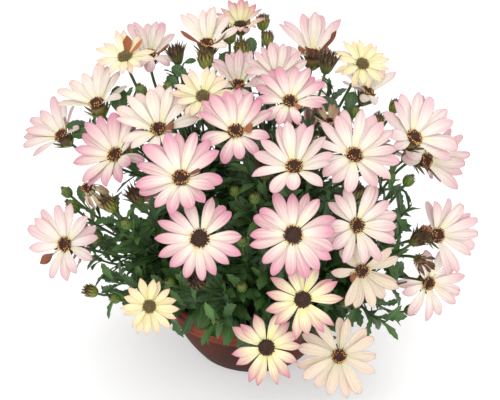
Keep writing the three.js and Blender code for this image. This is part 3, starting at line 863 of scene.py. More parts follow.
    def knob(self, place: Vector, axis: Vector, radius: float, height: float,
             tip: float, sides: int, slot: int) -> None:
        """Casts a small tapered knob that stands on a surface.

        Args:
            place: The middle of its foot.
            axis: The way it points.
            radius: Its foot's radius.
            height: Its height.
            tip: The radius of its tip.
            sides: The faces round it.
            slot: The number of its material.
        """
        tag = self.next_tag()
        turn = axis.to_track_quat("Z", "Y").to_matrix().to_4x4()
        made = bmesh.ops.create_cone(
            self.bm, cap_ends=True, segments=sides, radius1=radius, radius2=tip, depth=height,
            matrix=Matrix.Translation(place + axis * (height / 2)) @ turn,
        )["verts"]
        for loop in (loop for face in self.dress(made, slot) for loop in face.loops):
            loop[self.uv].uv = (tag + 0.5, (loop.vert.co - place).dot(axis) / height)

    def cast(self, name: str, finishes: Sequence[Finish]) -> bpy.types.Object:
        """Casts the gathered faces.

        Args:
            name: The piece's name.
            finishes: Its materials, in the order of their numbers.

        Returns:
            The object, at the origin and riding on the part's body.
        """
        self._close_batch()
        whole = bmesh.new()
        for batch in self.batches:
            whole.from_mesh(batch)
            bpy.data.meshes.remove(batch)
        bmesh.ops.scale(whole, vec=Vector((MM, MM, MM)), verts=whole.verts[:])
        piece = placed(name, settled(whole, name))
        for finish in finishes:
            piece.data.materials.append(finish.material())
        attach(piece, BODY)
        log.info("%s: %d faces", name, len(piece.data.polygons))
        return piece


# ---------------- shader maths

Colour = tuple[float, float, float]
Value = Union["Wire", float, Sequence[float]]

# How far light passes under the skin of a thin blade, in millimetres.
SKIN = 1.5


def shade(red: int, green: int, blue: int) -> Colour:
    """Turns display steps of 0 to 255 into linear light.

    Args:
        red: The red step.
        green: The green step.
        blue: The blue step.

    Returns:
        The colour.
    """
    def linear(step: int) -> float:
        """One channel as linear light."""
        part = step / 255.0
        return part / 12.92 if part <= 0.04045 else ((part + 0.055) / 1.055) ** 2.4
    return linear(red), linear(green), linear(blue)


class Wire:
    """An output socket that works in Python sums: each sum adds its Math node."""

    def __init__(self, graph: Graph, socket: bpy.types.NodeSocket) -> None:
        """Wraps a socket of the graph."""
        self.graph = graph
        self.socket = socket

    def _sum(self, operation: str, first: Value, second: Value = 0.0, clamp: bool = False) -> Wire:
        """Adds one Math node."""
        settings = {"operation": operation, "use_clamp": clamp}
        return self.graph.node("ShaderNodeMath", settings, {0: first, 1: second})

    def __add__(self, other: Value) -> Wire:
        """self + other."""
        return self._sum("ADD", self, other)

    __radd__ = __add__

    def __sub__(self, other: Value) -> Wire:
        """self - other."""
        return self._sum("SUBTRACT", self, other)

    def __rsub__(self, other: Value) -> Wire:
        """other - self."""
        return self._sum("SUBTRACT", other, self)

    def __mul__(self, other: Value) -> Wire:
        """self * other."""
        return self._sum("MULTIPLY", self, other)

    __rmul__ = __mul__

    def __abs__(self) -> Wire:
        """The size of self without its sign."""
        return self._sum("ABSOLUTE", self)

    def floor(self) -> Wire:
        """The whole number under self."""
        return self._sum("FLOOR", self)

    def fraction(self) -> Wire:
        """What is left of self over its floor."""
        return self._sum("FRACT", self)

    def wave(self) -> Wire:
        """The sine of self."""
        return self._sum("SINE", self)

    def clamped(self) -> Wire:
        """Self held between 0 and 1."""
        return self._sum("ADD", self, 0.0, True)

    def between(self, low: float, high: float) -> Wire:
        """A smooth step from 0 at low to 1 at high."""
        return self.graph.node(
            "ShaderNodeMapRange", {"interpolation_type": "SMOOTHSTEP"},
            {"Value": self, "From Min": low, "From Max": high},
        )


@dataclass(frozen=True)
class Growth:
    """Where a place lies on its grown thing: the thing's number, and the shares across and along it."""

    graph: Graph
    number: Wire
    across: Wire
    along: Wire

    def own(self) -> Wire:
        """A random value of the grown thing's own."""
        return self.graph.chance(self.number)

    def edge(self) -> Wire:
        """How far out from its middle line, up to 1."""
        return abs(self.across * 2.0 - 1.0)

    def streaks(self, across: float, along: float, shift: float, detail: float = 2.0) -> Wire:
        """Noise in streaks, by its change across, its change along and its shift between things."""
        place = self.graph.vector(self.across * across, self.along * along, self.number * shift)
        return self.graph.noise(place, 1.0, detail)


class Graph:
    """One material's nodes."""

    def __init__(self, name: str) -> None:
        """Opens an empty material.

        Args:
            name: Its name.
        """
        self.material = bpy.data.materials.new(name)
        self.material.use_nodes = True
        self.tree = self.material.node_tree
        self.tree.nodes.clear()

    def node(self, kind: str, settings: Union[Mapping[str, object], None] = None,
             inputs: Union[Mapping[object, Value], None] = None, output: Union[int, str] = 0) -> Wire:
        """Adds one node.

        Args:
            kind: The node's type.
            settings: Its own settings, with a ramp's stops under "stops".
            inputs: Values or wires for its sockets, by name or number.
            output: The socket that is returned.

        Returns:
            The wire of that socket.
        """
        made = self.tree.nodes.new(kind)
        for key, value in (settings or {}).items():
            if key == "stops":
                self._set_stops(made.color_ramp, value)
            else:
                setattr(made, key, value)
        for key, value in (inputs or {}).items():
            if isinstance(value, Wire):
                self.tree.links.new(value.socket, made.inputs[key])
            else:
                made.inputs[key].default_value = value
        return Wire(self, made.outputs[output])

    @staticmethod
    def _set_stops(ramp: bpy.types.ColorRamp, stops: Sequence[tuple[float, Colour]]) -> None:
        """Gives a colour ramp its stops.

        Args:
            ramp: The ramp.
            stops: Places and colours.
        """
        while len(ramp.elements) < len(stops):
            ramp.elements.new(1.0)
        for element, (place, colour) in zip(ramp.elements, stops):
            element.position = place
            element.color = (*colour, 1.0)

    def ramp(self, value: Value, stops: Sequence[tuple[float, Colour]]) -> Wire:
        """A colour that follows a value through stops."""
        return self.node("ShaderNodeValToRGB", {"stops": stops}, {"Fac": value})

    def mix(self, share: Value, low: Union[Wire, Colour], high: Union[Wire, Colour]) -> Wire:
        """Mixes two colours.

        Args:
            share: How far it is from the first to the second.
            low: The first.
            high: The second.

        Returns:
            The mixed colour.
        """
        low_value, high_value = (part if isinstance(part, Wire) else (*part, 1.0) for part in (low, high))
        settings = {"data_type": "RGBA", "clamp_factor": True}
        return self.node("ShaderNodeMix", settings, {0: share, 6: low_value, 7: high_value}, 2)

    def darken(self, colour: Wire, amount: Value) -> Wire:
        """Multiplies a colour by a grey.

        Args:
            colour: The colour.
            amount: The grey's value.

        Returns:
            The product.
        """
        grey = self.node("ShaderNodeCombineColor", {}, {0: amount, 1: amount, 2: amount})
        settings = {"data_type": "RGBA", "blend_type": "MULTIPLY"}
        return self.node("ShaderNodeMix", settings, {0: 1.0, 6: colour, 7: grey}, 2)

    def growth(self) -> Growth:
        """Reads where a place lies on its grown thing.

        Returns:
            The reading.
        """
        place = self.node("ShaderNodeUVMap", {"uv_map": UV_NAME})
        across, along = (self.node("ShaderNodeSeparateXYZ", {}, {0: place}, axis) for axis in (0, 1))
        return Growth(self, across.floor(), across.fraction(), along)

    def vector(self, x: Value, y: Value, z: Value) -> Wire:
        """A vector of three values."""
        return self.node("ShaderNodeCombineXYZ", {}, {0: x, 1: y, 2: z})

    def chance(self, seed: Value) -> Wire:
        """An even random value from 0 to 1 for a seed."""
        return self.node("ShaderNodeTexWhiteNoise", {"noise_dimensions": "1D"}, {"W": seed})

    def noise(self, place: Union[Wire, None], scale: float, detail: float = 3.0) -> Wire:
        """Adds soft noise.

        Args:
            place: What it is read at: by default the object's own coordinates, in metres.
            scale: How fine it is.
            detail: How rough it is.

        Returns:
            The noise, about 0.5 on average.
        """
        if place is None:
            place = self.node("ShaderNodeTexCoord", output="Object")
        return self.node("ShaderNodeTexNoise", {}, {"Vector": place, "Scale": scale, "Detail": detail})

    def height(self) -> Wire:
        """The height over the floor, in millimetres."""
        place = self.node("ShaderNodeTexCoord", output="Object")
        return self.node("ShaderNodeSeparateXYZ", {}, {0: place}, 2) * (1.0 / MM)

    def close(self, colour: Value, roughness: Value, relief: Union[Wire, None] = None, depth: float = 0.1,
              sheen: float = 0.0, specular: float = 0.5, glow: float = 0.0) -> None:
        """Joins everything to the surface.

        Args:
            colour: The base colour.
            roughness: The roughness.
            relief: A height for the bump, if any.
            depth: The relief's depth in millimetres.
            sheen: The weight of a soft sheen.
            specular: The specular level.
            glow: The weight of the light that passes under the skin of a thin blade.
        """
        inputs: dict[object, Value] = {
            "Base Color": colour, "Roughness": roughness, "Specular IOR Level": specular,
            "Sheen Weight": sheen, "Subsurface Weight": glow, "Subsurface Radius": (1.0, 1.0, 1.0),
            "Subsurface Scale": SKIN * MM,
        }
        if relief is not None:
            bump = {"Strength": 1.0, "Distance": depth * MM, "Height": relief}
            inputs["Normal"] = self.node("ShaderNodeBump", {}, bump)
        surface = self.node("ShaderNodeBsdfPrincipled", {}, inputs)
        end = self.tree.nodes.new("ShaderNodeOutputMaterial")
        self.tree.links.new(surface.socket, end.inputs["Surface"])


# ---------------- finishes


MATERIALS: dict[str, bpy.types.Material] = {}


@dataclass(frozen=True)
class Finish:
    """A finish, by its material's name."""

    name: str

    def paint(self, graph: Graph) -> None:
        """Fills a material's nodes.

        Args:
            graph: The nodes.
        """
        raise NotImplementedError

    def material(self) -> bpy.types.Material:
        """Makes the finish's material on first use.

        Returns:
            The material.
        """
        if self.name not in MATERIALS:
            graph = Graph(self.name)
            self.paint(graph)
            MATERIALS[self.name] = graph.material
        return MATERIALS[self.name]


@dataclass(frozen=True)
class PetalColours:
    """The colours of a petal's upper side from the disc to the tip, and of its back."""

    foot: Colour
    middle: Colour
    tip: Colour
    tip_start: float
    vein: Colour
    back: Colour
    stripe: Colour


PETALS: Mapping[Tint, PetalColours] = {
    Tint.BUTTER: PetalColours(
        shade(248, 240, 156), shade(243, 229, 178), shade(234, 204, 168), 0.6, shade(184, 130, 84),
        shade(224, 196, 148), shade(158, 92, 50)),
    Tint.PRIMROSE: PetalColours(
        shade(246, 241, 156), shade(240, 231, 188), shade(228, 194, 176), 0.56, shade(186, 118, 110),
        shade(228, 202, 176), shade(150, 88, 58)),
    Tint.SUNRISE: PetalColours(
        shade(246, 239, 148), shade(242, 235, 188), shade(201, 134, 148), 0.44, shade(178, 102, 118),
        shade(228, 202, 176), shade(150, 88, 58)),
    Tint.CREAM: PetalColours(
        shade(246, 241, 182), shade(241, 232, 215), shade(229, 201, 192), 0.6, shade(186, 128, 128),
        shade(222, 196, 180), shade(134, 78, 60)),
    Tint.BLUSH: PetalColours(
        shade(246, 241, 190), shade(240, 227, 214), shade(215, 175, 179), 0.48, shade(172, 104, 120),
        shade(222, 188, 180), shade(132, 76, 66)),
    Tint.ROSE: PetalColours(
        shade(248, 243, 192), shade(243, 228, 213), shade(207, 142, 160), 0.38, shade(166, 86, 114),
        shade(216, 168, 170), shade(128, 70, 72)),
    Tint.PEARL: PetalColours(
        shade(242, 237, 190), shade(236, 222, 212), shade(219, 180, 184), 0.52, shade(172, 108, 120),
        shade(222, 192, 182), shade(132, 76, 66)),
    Tint.FADED: PetalColours(
        shade(214, 204, 166), shade(222, 207, 183), shade(223, 197, 181), 0.54, shade(160, 112, 92),
        shade(216, 190, 162), shade(136, 94, 68)),
    Tint.SPENT: PetalColours(
        shade(226, 208, 168), shade(218, 192, 156), shade(190, 146, 116), 0.5, shade(118, 78, 52),
        shade(222, 200, 160), shade(108, 70, 44)),
    Tint.WITHERED: PetalColours(
        shade(160, 134, 100), shade(130, 102, 76), shade(92, 66, 46), 0.4, shade(60, 42, 30),
        shade(142, 116, 88), shade(66, 46, 32)),
}


# The depth of a petal's ribs and of its back's, in millimetres, and the light that passes in under its skin.
PETAL_RIBS, BACK_RIBS, PETAL_GLOW = 0.2, 0.15, 0.25


@dataclass(frozen=True)
class PetalFace(Finish):
    """The upper side of a petal: pale at the foot and flushed at the tip, with long fine grooves."""

    colours: PetalColours

    def paint(self, graph: Graph) -> None:
        """Paints the gradient, the flush, the veins and the thin darker rim: painted shade along the sides,
        where the petals overlap, and the petal's own darker edge at the tip.

        Args:
            graph: The nodes.
        """
        colours, place = self.colours, graph.growth()
        own, edge, along = place.own(), place.edge(), place.along
        streaks = place.streaks(9.0, 0.8, 3.7)
        flush = along + (streaks - 0.5) * 0.3 + edge * edge * 0.16 + (own - 0.5) * 0.24
        base = graph.ramp(flush, [
            (0.0, colours.foot), (0.4, colours.middle), (colours.tip_start, colours.middle),
            (1.0, colours.tip),
        ])
        warm = graph.mix(streaks.between(0.5, 0.72) * along * 0.42, base, colours.tip)
        veins = place.streaks(15.0, 0.5, 1.3, 1.0)
        vein = veins.between(0.54, 0.72) * along.between(0.05, 0.5) * 0.36
        # Painted shade: the sides of the lower half darken where one petal lies over the next.
        side = edge.between(0.8, 1.0) * along.between(0.1, 0.6) * 0.7
        # The tip's own darker edge, added to the painted shade along the sides.
        rim_and_painted_shade = side + (along + edge * 0.1).between(0.96, 1.08) * 0.6
        rim = graph.mix(rim_and_painted_shade.clamped(), graph.mix(vein, warm, colours.vein), colours.vein)
        toned = graph.darken(rim, 0.965 + (own - 0.5) * 0.07)
        grooves = (place.across * (3.0 * math.tau)).wave() * 0.5
        graph.close(toned, 0.55, grooves + veins, PETAL_RIBS, 0.12, 0.3, PETAL_GLOW)


@dataclass(frozen=True)
class PetalBack(Finish):
    """The back of a petal: duller, with a broad brown stripe down its middle."""

    colours: PetalColours

    def paint(self, graph: Graph) -> None:
        """Paints the stripe over the dull back.

        Args:
            graph: The nodes.
        """
        colours, place = self.colours, graph.growth()
        along, streaks = place.along, place.streaks(14.0, 0.7, 2.9)
        reach = place.edge() + (streaks - 0.5) * 0.5 + along * along * 0.35
        stripe = (1.0 - reach.between(0.35, 0.85)) * (0.55 + along.between(0.0, 0.5) * 0.35)
        base = graph.mix(along.between(0.6, 1.0) * 0.5, colours.back, colours.tip)
        striped = graph.mix(stripe, base, colours.stripe)
        graph.close(striped, 0.6, streaks, BACK_RIBS, 0.1, 0.3, PETAL_GLOW)


@dataclass(frozen=True)
class ScorchedBack(Finish):
    """The back of a folded petal, where the brown stripe fills its whole width."""

    low: Colour
    high: Colour

    def paint(self, graph: Graph) -> None:
        """Paints each petal a brown of its own, paler at the rim.

        Args:
            graph: The nodes.
        """
        place = graph.growth()
        streaks = place.streaks(14.0, 0.7, 2.9)
        toned = graph.darken(graph.mix(place.own(), self.low, self.high), 0.8 + streaks * 0.4)
        rim = graph.mix(place.edge().between(0.7, 1.0) * 0.4, toned, shade(208, 158, 122))
        graph.close(rim, 0.6, streaks, BACK_RIBS, 0.1, 0.3)


@dataclass(frozen=True)
class DiscFinish(Finish):
    """The disc's closed florets, from their darkest shade to their lightest."""

    low: Colour
    high: Colour

    def paint(self, graph: Graph) -> None:
        """Paints each floret a shade of its own."""
        place = graph.growth()
        graph.close(graph.mix(place.own() * 0.6 + place.along * 0.4, self.low, self.high), 0.6)


@dataclass(frozen=True)
class PollenFinish(Finish):
    """The open florets of the disc's edge: dark tubes with orange-yellow pollen at their mouths."""

    def paint(self, graph: Graph) -> None:
        """Paints the pollen over the upper part of some tubes.

        Args:
            graph: The nodes.
        """
        place = graph.growth()
        mouth = place.along.between(0.6, 0.8) * place.own().between(0.5, 0.54)
        gold = graph.mix(graph.chance(place.number + 0.5), shade(196, 104, 44), shade(244, 200, 100))
        graph.close(graph.mix(mouth, shade(86, 44, 42), gold), 0.7)


@dataclass(frozen=True)
class LeafFinish(Finish):
    """A leaf's side: deep green with a paler rib and side veins, each leaf a shade of its own."""

    deep: Colour
    light: Colour
    rib: Colour
    roughness: float

    def paint(self, graph: Graph) -> None:
        """Paints the blade, the rib and the veins.

        Args:
            graph: The nodes.
        """
        place = graph.growth()
        along, edge, patches = place.along, place.edge(), graph.noise(None, 60.0, 4.0)
        green = place.own() * 0.55 + patches.between(0.3, 0.7) * 0.35 + along * 0.15
        base = graph.mix(green, self.deep, self.light)
        rib = 1.0 - edge.between(0.03, 0.12)
        vein = ((along * 9.0 - edge * 1.6) * math.tau).wave().between(0.8, 1.0) * (1.0 - edge) * 0.5
        veined = graph.mix((rib * 0.5 + vein * 0.3).clamped(), base, self.rib)
        relief = patches * 0.4 - rib * 0.6 - vein * 0.5
        graph.close(veined, self.roughness, relief, 0.3, 0.0, 0.45)


@dataclass(frozen=True)
class StalkFinish(Finish):
    """Stems and stalks: mid green, browner at the foot, each a shade of its own."""

    def paint(self, graph: Graph) -> None:
        """Paints the stalk along its length.

        Args:
            graph: The nodes.
        """
        place, patches = graph.growth(), graph.noise(None, 220.0)
        base = graph.ramp(place.along + (patches - 0.5) * 0.2, [
            (0.0, shade(52, 56, 34)), (0.3, shade(48, 72, 36)), (1.0, shade(66, 92, 46)),
        ])
        toned = graph.darken(base, 0.8 + place.own() * 0.35)
        graph.close(toned, 0.5, patches, 0.2, 0.0, 0.45)


@dataclass(frozen=True)
class BractFinish(Finish):
    """The bracts round a bud or under a head, from their foot to their point, with darker rims."""

    foot: Colour
    middle: Colour
    upper: Colour
    point: Colour
    rim: Colour

    def paint(self, graph: Graph) -> None:
        """Paints each bract a little further along than the next.

        Args:
            graph: The nodes.
        """
        place = graph.growth()
        base = graph.ramp(place.along + (place.own() - 0.5) * 0.2, [
            (0.0, self.foot), (0.5, self.middle), (0.8, self.upper), (0.97, self.point),
        ])
        rim = graph.mix(place.edge().between(0.35, 0.85) * 0.9, base, self.rim)
        graph.close(rim, 0.5, place.along, 0.1, 0.0, 0.45)


@dataclass(frozen=True)
class RolledFinish(Finish):
    """Rolled petal tips at the mouth of a bud, from their foot to their point."""

    foot: Colour
    middle: Colour
    point: Colour

    def paint(self, graph: Graph) -> None:
        """Paints each roll a little lighter or darker than the next.

        Args:
            graph: The nodes.
        """
        place = graph.growth()
        base = graph.ramp(place.along + (place.own() - 0.5) * 0.3, [
            (0.0, self.foot), (0.5, self.middle), (1.0, self.point),
        ])
        graph.close(graph.darken(base, 0.75 + place.streaks(8.0, 0.6, 2.1, 1.0) * 0.45), 0.6)


@dataclass(frozen=True)
class TerracottaFinish(Finish):
    """Fired clay: warm in the band, with painted shade that makes it browner below the band, fine speckle
    and patches, and darker towards its foot.
    """

    band_foot: float

    def paint(self, graph: Graph) -> None:
        """Paints the clay by height, with painted shade below the band, speckle and patches, and darkens it
        towards its foot.

        Args:
            graph: The nodes.
        """
        height = graph.height()
        patches = graph.noise(None, 28.0, 5.0)
        speckle = graph.noise(None, 700.0)
        cloud = patches.between(0.35, 0.7)
        # The darker, browner colour below the band is painted shade under the rim band.
        lower = graph.mix(cloud, shade(64, 28, 17), shade(88, 40, 24))
        upper = graph.mix(cloud, shade(120, 52, 35), shade(142, 66, 44))
        base = graph.mix(height.between(self.band_foot - 1.5, self.band_foot + 1.5), lower, upper)
        # Darker towards the foot, over the lowest 16 millimetres.
        darker_foot = graph.mix((1.0 - height.between(0.0, 16.0)) * 0.5, base, shade(60, 38, 30))
        toned = graph.darken(darker_foot, 0.9 + (speckle - 0.5) * 0.4)
        roughness = 0.68 + (patches - 0.5) * 0.2
        graph.close(toned, roughness, speckle + patches, 0.25, 0.0, 0.25)


@dataclass(frozen=True)
class SoilFinish(Finish):
    """Damp potting soil: near black brown with paler crumbs."""

    def paint(self, graph: Graph) -> None:
        """Paints crumbs of several browns.

        Args:
            graph: The nodes.
        """
        coarse = graph.noise(None, 160.0, 6.0)
        fine = graph.noise(None, 900.0)
        base = graph.mix(coarse.between(0.35, 0.7), shade(34, 25, 19), shade(74, 54, 40))
        flecked = graph.mix(fine.between(0.62, 0.72) * 0.6, base, shade(128, 104, 80))
        graph.close(flecked, 0.95, coarse + fine * 0.5, 1.2, 0.0, 0.2)


@dataclass(frozen=True)
class FloorFinish(Finish):
    """A plain pale floor with a faint glow, which lightens the shadow on it."""

    grey: float = 0.7
    glow: float = 0.4

    def paint(self, graph: Graph) -> None:
        """Paints the floor one pale shade.

        Args:
            graph: The nodes.
        """
        graph.close((self.grey, self.grey, self.grey, 1.0), 0.9, specular=0.1)
        shader = next(node for node in graph.tree.nodes if node.type == "BSDF_PRINCIPLED")
        shader.inputs["Emission Color"].default_value = (1.0, 1.0, 1.0, 1.0)
        shader.inputs["Emission Strength"].default_value = self.glow


DISC_OPEN = DiscFinish("disc_open", shade(38, 25, 19), shade(100, 66, 50))
DISC_YOUNG = DiscFinish("disc_young", shade(84, 70, 42), shade(152, 130, 80))
BACK_BROWN = ScorchedBack("petal_back_brown", shade(104, 58, 46), shade(162, 94, 58))
BACK_ORANGE = ScorchedBack("petal_back_orange", shade(146, 82, 44), shade(180, 112, 62))
LEAF_TOP = LeafFinish("leaf_top", shade(32, 58, 28), shade(66, 104, 44), shade(104, 136, 74), 0.42)
LEAF_UNDER = LeafFinish("leaf_under", shade(56, 82, 48), shade(88, 118, 68), shade(126, 152, 98), 0.6)
YOUNG_TOP = LeafFinish("leaf_young", shade(46, 82, 38), shade(84, 122, 54), shade(118, 150, 82), 0.5)
BRACT_YOUNG = BractFinish(
    "bract_young", shade(66, 92, 36), shade(104, 132, 50), shade(110, 122, 50), shade(76, 58, 32),
    shade(38, 52, 20))
BRACT_RIPE = BractFinish(
    "bract_ripe", shade(92, 114, 46), shade(138, 148, 62), shade(124, 104, 52), shade(70, 44, 28),
    shade(70, 52, 26))
BRACT_OLD = BractFinish(
    "bract_old", shade(80, 98, 42), shade(96, 92, 44), shade(90, 62, 38), shade(60, 36, 26),
    shade(50, 36, 22))
ROLLED_FRESH = RolledFinish("bud_petal", shade(122, 120, 48), shade(112, 92, 40), shade(76, 46, 30))
ROLLED_OLD = RolledFinish("bud_old", shade(104, 94, 48), shade(90, 64, 38), shade(60, 36, 26))


# ---------------- flower heads


# Rows of a ray petal: its share of the length and of the half width, for three kinds of tip.
PETAL_FOOT = ((0.0, 0.3), (0.1, 0.38), (0.22, 0.54), (0.34, 0.72), (0.46, 0.87), (0.57, 0.97), (0.66, 1.0))
POINTED = PETAL_FOOT + ((0.76, 0.93), (0.85, 0.75), (0.92, 0.5), (0.97, 0.24), (1.0, 0.04))
BLUNT = PETAL_FOOT + ((0.76, 0.97), (0.85, 0.86), (0.92, 0.68), (0.97, 0.46), (1.0, 0.2))
LANCED = PETAL_FOOT + ((0.76, 0.84), (0.85, 0.6), (0.92, 0.36), (0.97, 0.16), (1.0, 0.03))


@dataclass(frozen=True)
class BloomSizes:
    """The proportions of a head: shares of its size, unless a comment gives another unit."""

    disc: float = 0.17  # the radius of a half open disc
    disc_loss: float = 0.12  # how much of it is lost from shut to open
    young_disc: float = 0.225
    disc_height: float = 3.6  # millimetres
    florets: int = 96
    foot: float = 0.13  # how far from the middle petals start
    petal_half: float = 0.142
    dried_half: float = 0.66  # against a fresh petal's
    spent_petals: int = 12
    thickness: float = 0.35  # millimetres
    columns: int = 6
    stagger: float = 3.0  # degrees that every other petal rises, and the rest sink
    jostle: float = 0.32  # of the step from petal to petal
    ripple: tuple[float, float] = (5.0, 4.0)  # degrees, once and twice round
    crowding: float = 0.026  # towards the far side, for each degree of the head's fan
    hanging: float = 48.0  # degrees that a drooping spent head's petals hang under its solid's
    twist: float = 18.0  # degrees by the tip
    dried_twist: float = 26.0  # degrees more
    sway: float = 12.0  # degrees sideways by the tip
    crease_turn: float = 172.0  # degrees
    crease_length: float = 0.14  # of the petal's length


@dataclass(frozen=True)
class Floret:
    """A floret: its height in millimetres, its radius against the disc's, and its tip's against its own."""

    height: float
    radius: float
    tip: float


OPEN_FLORET = Floret(2.0, 0.08, 0.95)
SHUT_FLORET = Floret(1.5, 0.115, 0.45)


class Bloom:
    """One flower head: a ring of ray petals round a domed disc of florets."""

    FACE, BACK, DISC, POLLEN, SCORCHED = range(5)

    def __init__(self, number: int, head: Head, sizes: BloomSizes = BloomSizes()) -> None:
        """Measures the head.

        Args:
            number: Its number.
            head: Its place and form.
            sizes: Its proportions.
        """
        self.number = number
        self.head = head
        self.sizes = sizes
        self.face = Face(head.axis)
        self.mould = Mould()
        share = sizes.young_disc if head.unripe else sizes.disc + sizes.disc_loss * (0.5 - head.ripe)
        self.disc_radius = head.size * share

    def build(self) -> None:
        """Builds the head and lets it stand for its solid."""
        self._petals()
        self._disc()
        tint = self.head.tint
        young = tint in (Tint.BUTTER, Tint.PRIMROSE)
        finishes = [
            PetalFace(f"petal_{tint.value}", PETALS[tint]),
            PetalBack(f"petal_back_{tint.value}", PETALS[tint]),
            DISC_YOUNG if young else DISC_OPEN, PollenFinish("pollen"),
            BACK_ORANGE if young else BACK_BROWN,
        ]
        piece = self.mould.cast(f"flower_head_{self.number:02d}", finishes)
        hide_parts(f"bloom_{self.number:02d}")

    def _petals(self) -> None:
        """Lays the ring of petals, every other one a little higher, and leaves its bare stretch out."""
        head, sizes = self.head, self.sizes
        own = head.count + round(1.6 * wobble(self.number, 2)) if head.count > 14 else head.count
        count = sizes.spent_petals if head.shrivelled else own
        step = 2 * math.pi / count
        phase = wobble(self.number, 1) * step
        even = [phase + (i + sizes.jostle * wobble(self.number, 60 + i)) * step for i in range(count)]
        angles = [angle - sizes.crowding * head.fan * math.sin(angle - head.far) for angle in even]
        folds: dict[int, Fold] = {}
        for degrees, fold in head.folds:
            nearest = max(range(count), key=lambda i: math.cos(angles[i] - math.radians(degrees)))
            folds[nearest] = fold.value
        for i, angle in enumerate(angles):
            if i in folds or not head.is_bare(angle):
                self._petal(i, angle, folds.get(i))

    def _ripple(self, angle: float) -> float:
        """Waves the ring up and down.

        Args:
            angle: An angle round the face.

        Returns:
            How much further the petals rise there, in degrees.
        """
        once, twice = self.sizes.ripple
        first, second = math.pi * wobble(self.number, 11), math.pi * wobble(self.number, 12)
        return once * math.sin(angle + first) + twice * math.sin(2.0 * angle + second)

    def _petal(self, index: int, angle: float, fold: Union[Fold, None]) -> None:
        """Lays one petal.

        Args:
            index: Its number in the ring.
            angle: Its angle round the face.
            fold: How it is folded, if it is.
        """
        head, sizes, seed = self.head, self.sizes, self.number * 31 + index
        radial = self.face.around(angle)
        high = 1.0 if index % 2 else -1.0
        farness = math.cos(angle - head.far)
        nearness = max(0.0, -farness)
        foot = head.size * sizes.foot
        lift = head.lift + head.fan * farness + sizes.stagger * high + self._ripple(angle)
        lift += 1.5 * wobble(seed, 3)
        lift = math.radians(lift + (fold.rise if fold else 0.0) - sizes.hanging * (head.lift < 0.0))
        length = (head.size - foot) * (1.0 + 0.08 * wobble(seed, 4)) * (1.0 - 0.02 * head.fan * nearness)
        length *= fold.length if fold else 1.0
        along = radial * math.cos(lift) + head.axis * math.sin(lift)
        normal = head.axis * math.cos(lift) - radial * math.sin(lift)
        if fold and fold.turned:
            normal = -normal
        curl = math.radians(head.curl + 8.0 * wobble(seed, 5) + 2.4 * head.fan * nearness * (fold is None))
        most_twist = sizes.twist + sizes.dried_twist * head.shrivelled
        twist = math.radians(most_twist * wobble(seed, 6) + (fold.roll if fold else 0.0))
        half = head.size * sizes.petal_half * (1.0 + 0.14 * wobble(seed, 7))
        half *= fold.half if fold else sizes.dried_half if head.shrivelled else 1.0

        def bend(share: float) -> float:
            """Turns the petal back towards its tip, or over its face past a crease.

            Args:
                share: A share of its length.

            Returns:
                The angle that it has turned down through.
            """
            if fold and fold.crease:
                folded = max(0.0, min(1.0, (share - fold.crease) / sizes.crease_length))
                return math.radians(-sizes.crease_turn) * folded
            return curl * share ** 1.4 - math.radians(4.0)

        cup = 0.12 + 0.34 * max(0.0, wobble(seed, 8)) ** 2

        def section(out: float, share: float) -> float:
            """The cupped section with its three long ridges."""
            return cup * out * out + 0.06 * math.cos(3 * math.pi * out) * (1.0 - 0.7 * share)

        root = head.centre + radial * foot + head.axis * (0.3 * high)
        outline = LANCED if head.unripe else BLUNT if wobble(seed, 10) > 0.35 else POINTED
        sway = math.radians(sizes.sway) * wobble(seed, 9)
        blade = Blade.bent(root, along, normal, length, outline, half, bend, twist, sway)
        back = self.SCORCHED if fold else self.BACK
        self.mould.blade(blade, sizes.columns, sizes.thickness, (self.FACE, back), section)

    def _disc(self) -> None:
        """Sets the florets on the disc's dome in the spiral that they grow in."""
        head, sizes = self.head, self.sizes
        turn = head.axis.to_track_quat("Z", "Y").to_matrix().to_4x4()
        scale = Matrix.Diagonal((self.disc_radius, self.disc_radius, sizes.disc_height - 1.0, 1.0))
        dome = bmesh.ops.create_uvsphere(
            self.mould.bm, u_segments=16, v_segments=8, radius=1.0,
            matrix=Matrix.Translation(head.centre) @ turn @ scale,
        )["verts"]
        self.mould.dress(dome, self.DISC)
        open_from = 2.0 if head.unripe else 1.0 - head.ripe
        for k in range(sizes.florets):
            share = math.sqrt((k + 0.5) / sizes.florets)
            radial = self.face.around(k * GOLDEN_ANGLE + self.number)
            dome_height = (sizes.disc_height - 1.4) * math.sqrt(max(0.0, 1.0 - share * share))
            place = head.centre + radial * (self.disc_radius * 0.95 * share) + head.axis * dome_height
            lean = (head.axis + radial * (0.7 * share)).normalized()
            kind, slot = (OPEN_FLORET, self.POLLEN) if share > open_from else (SHUT_FLORET, self.DISC)
            tall = kind.height + 0.5 * wobble(k, self.number)
            wide = self.disc_radius * kind.radius
            self.mould.knob(place, lean, wide, tall, wide * kind.tip, 5, slot)


# ---------------- shoots


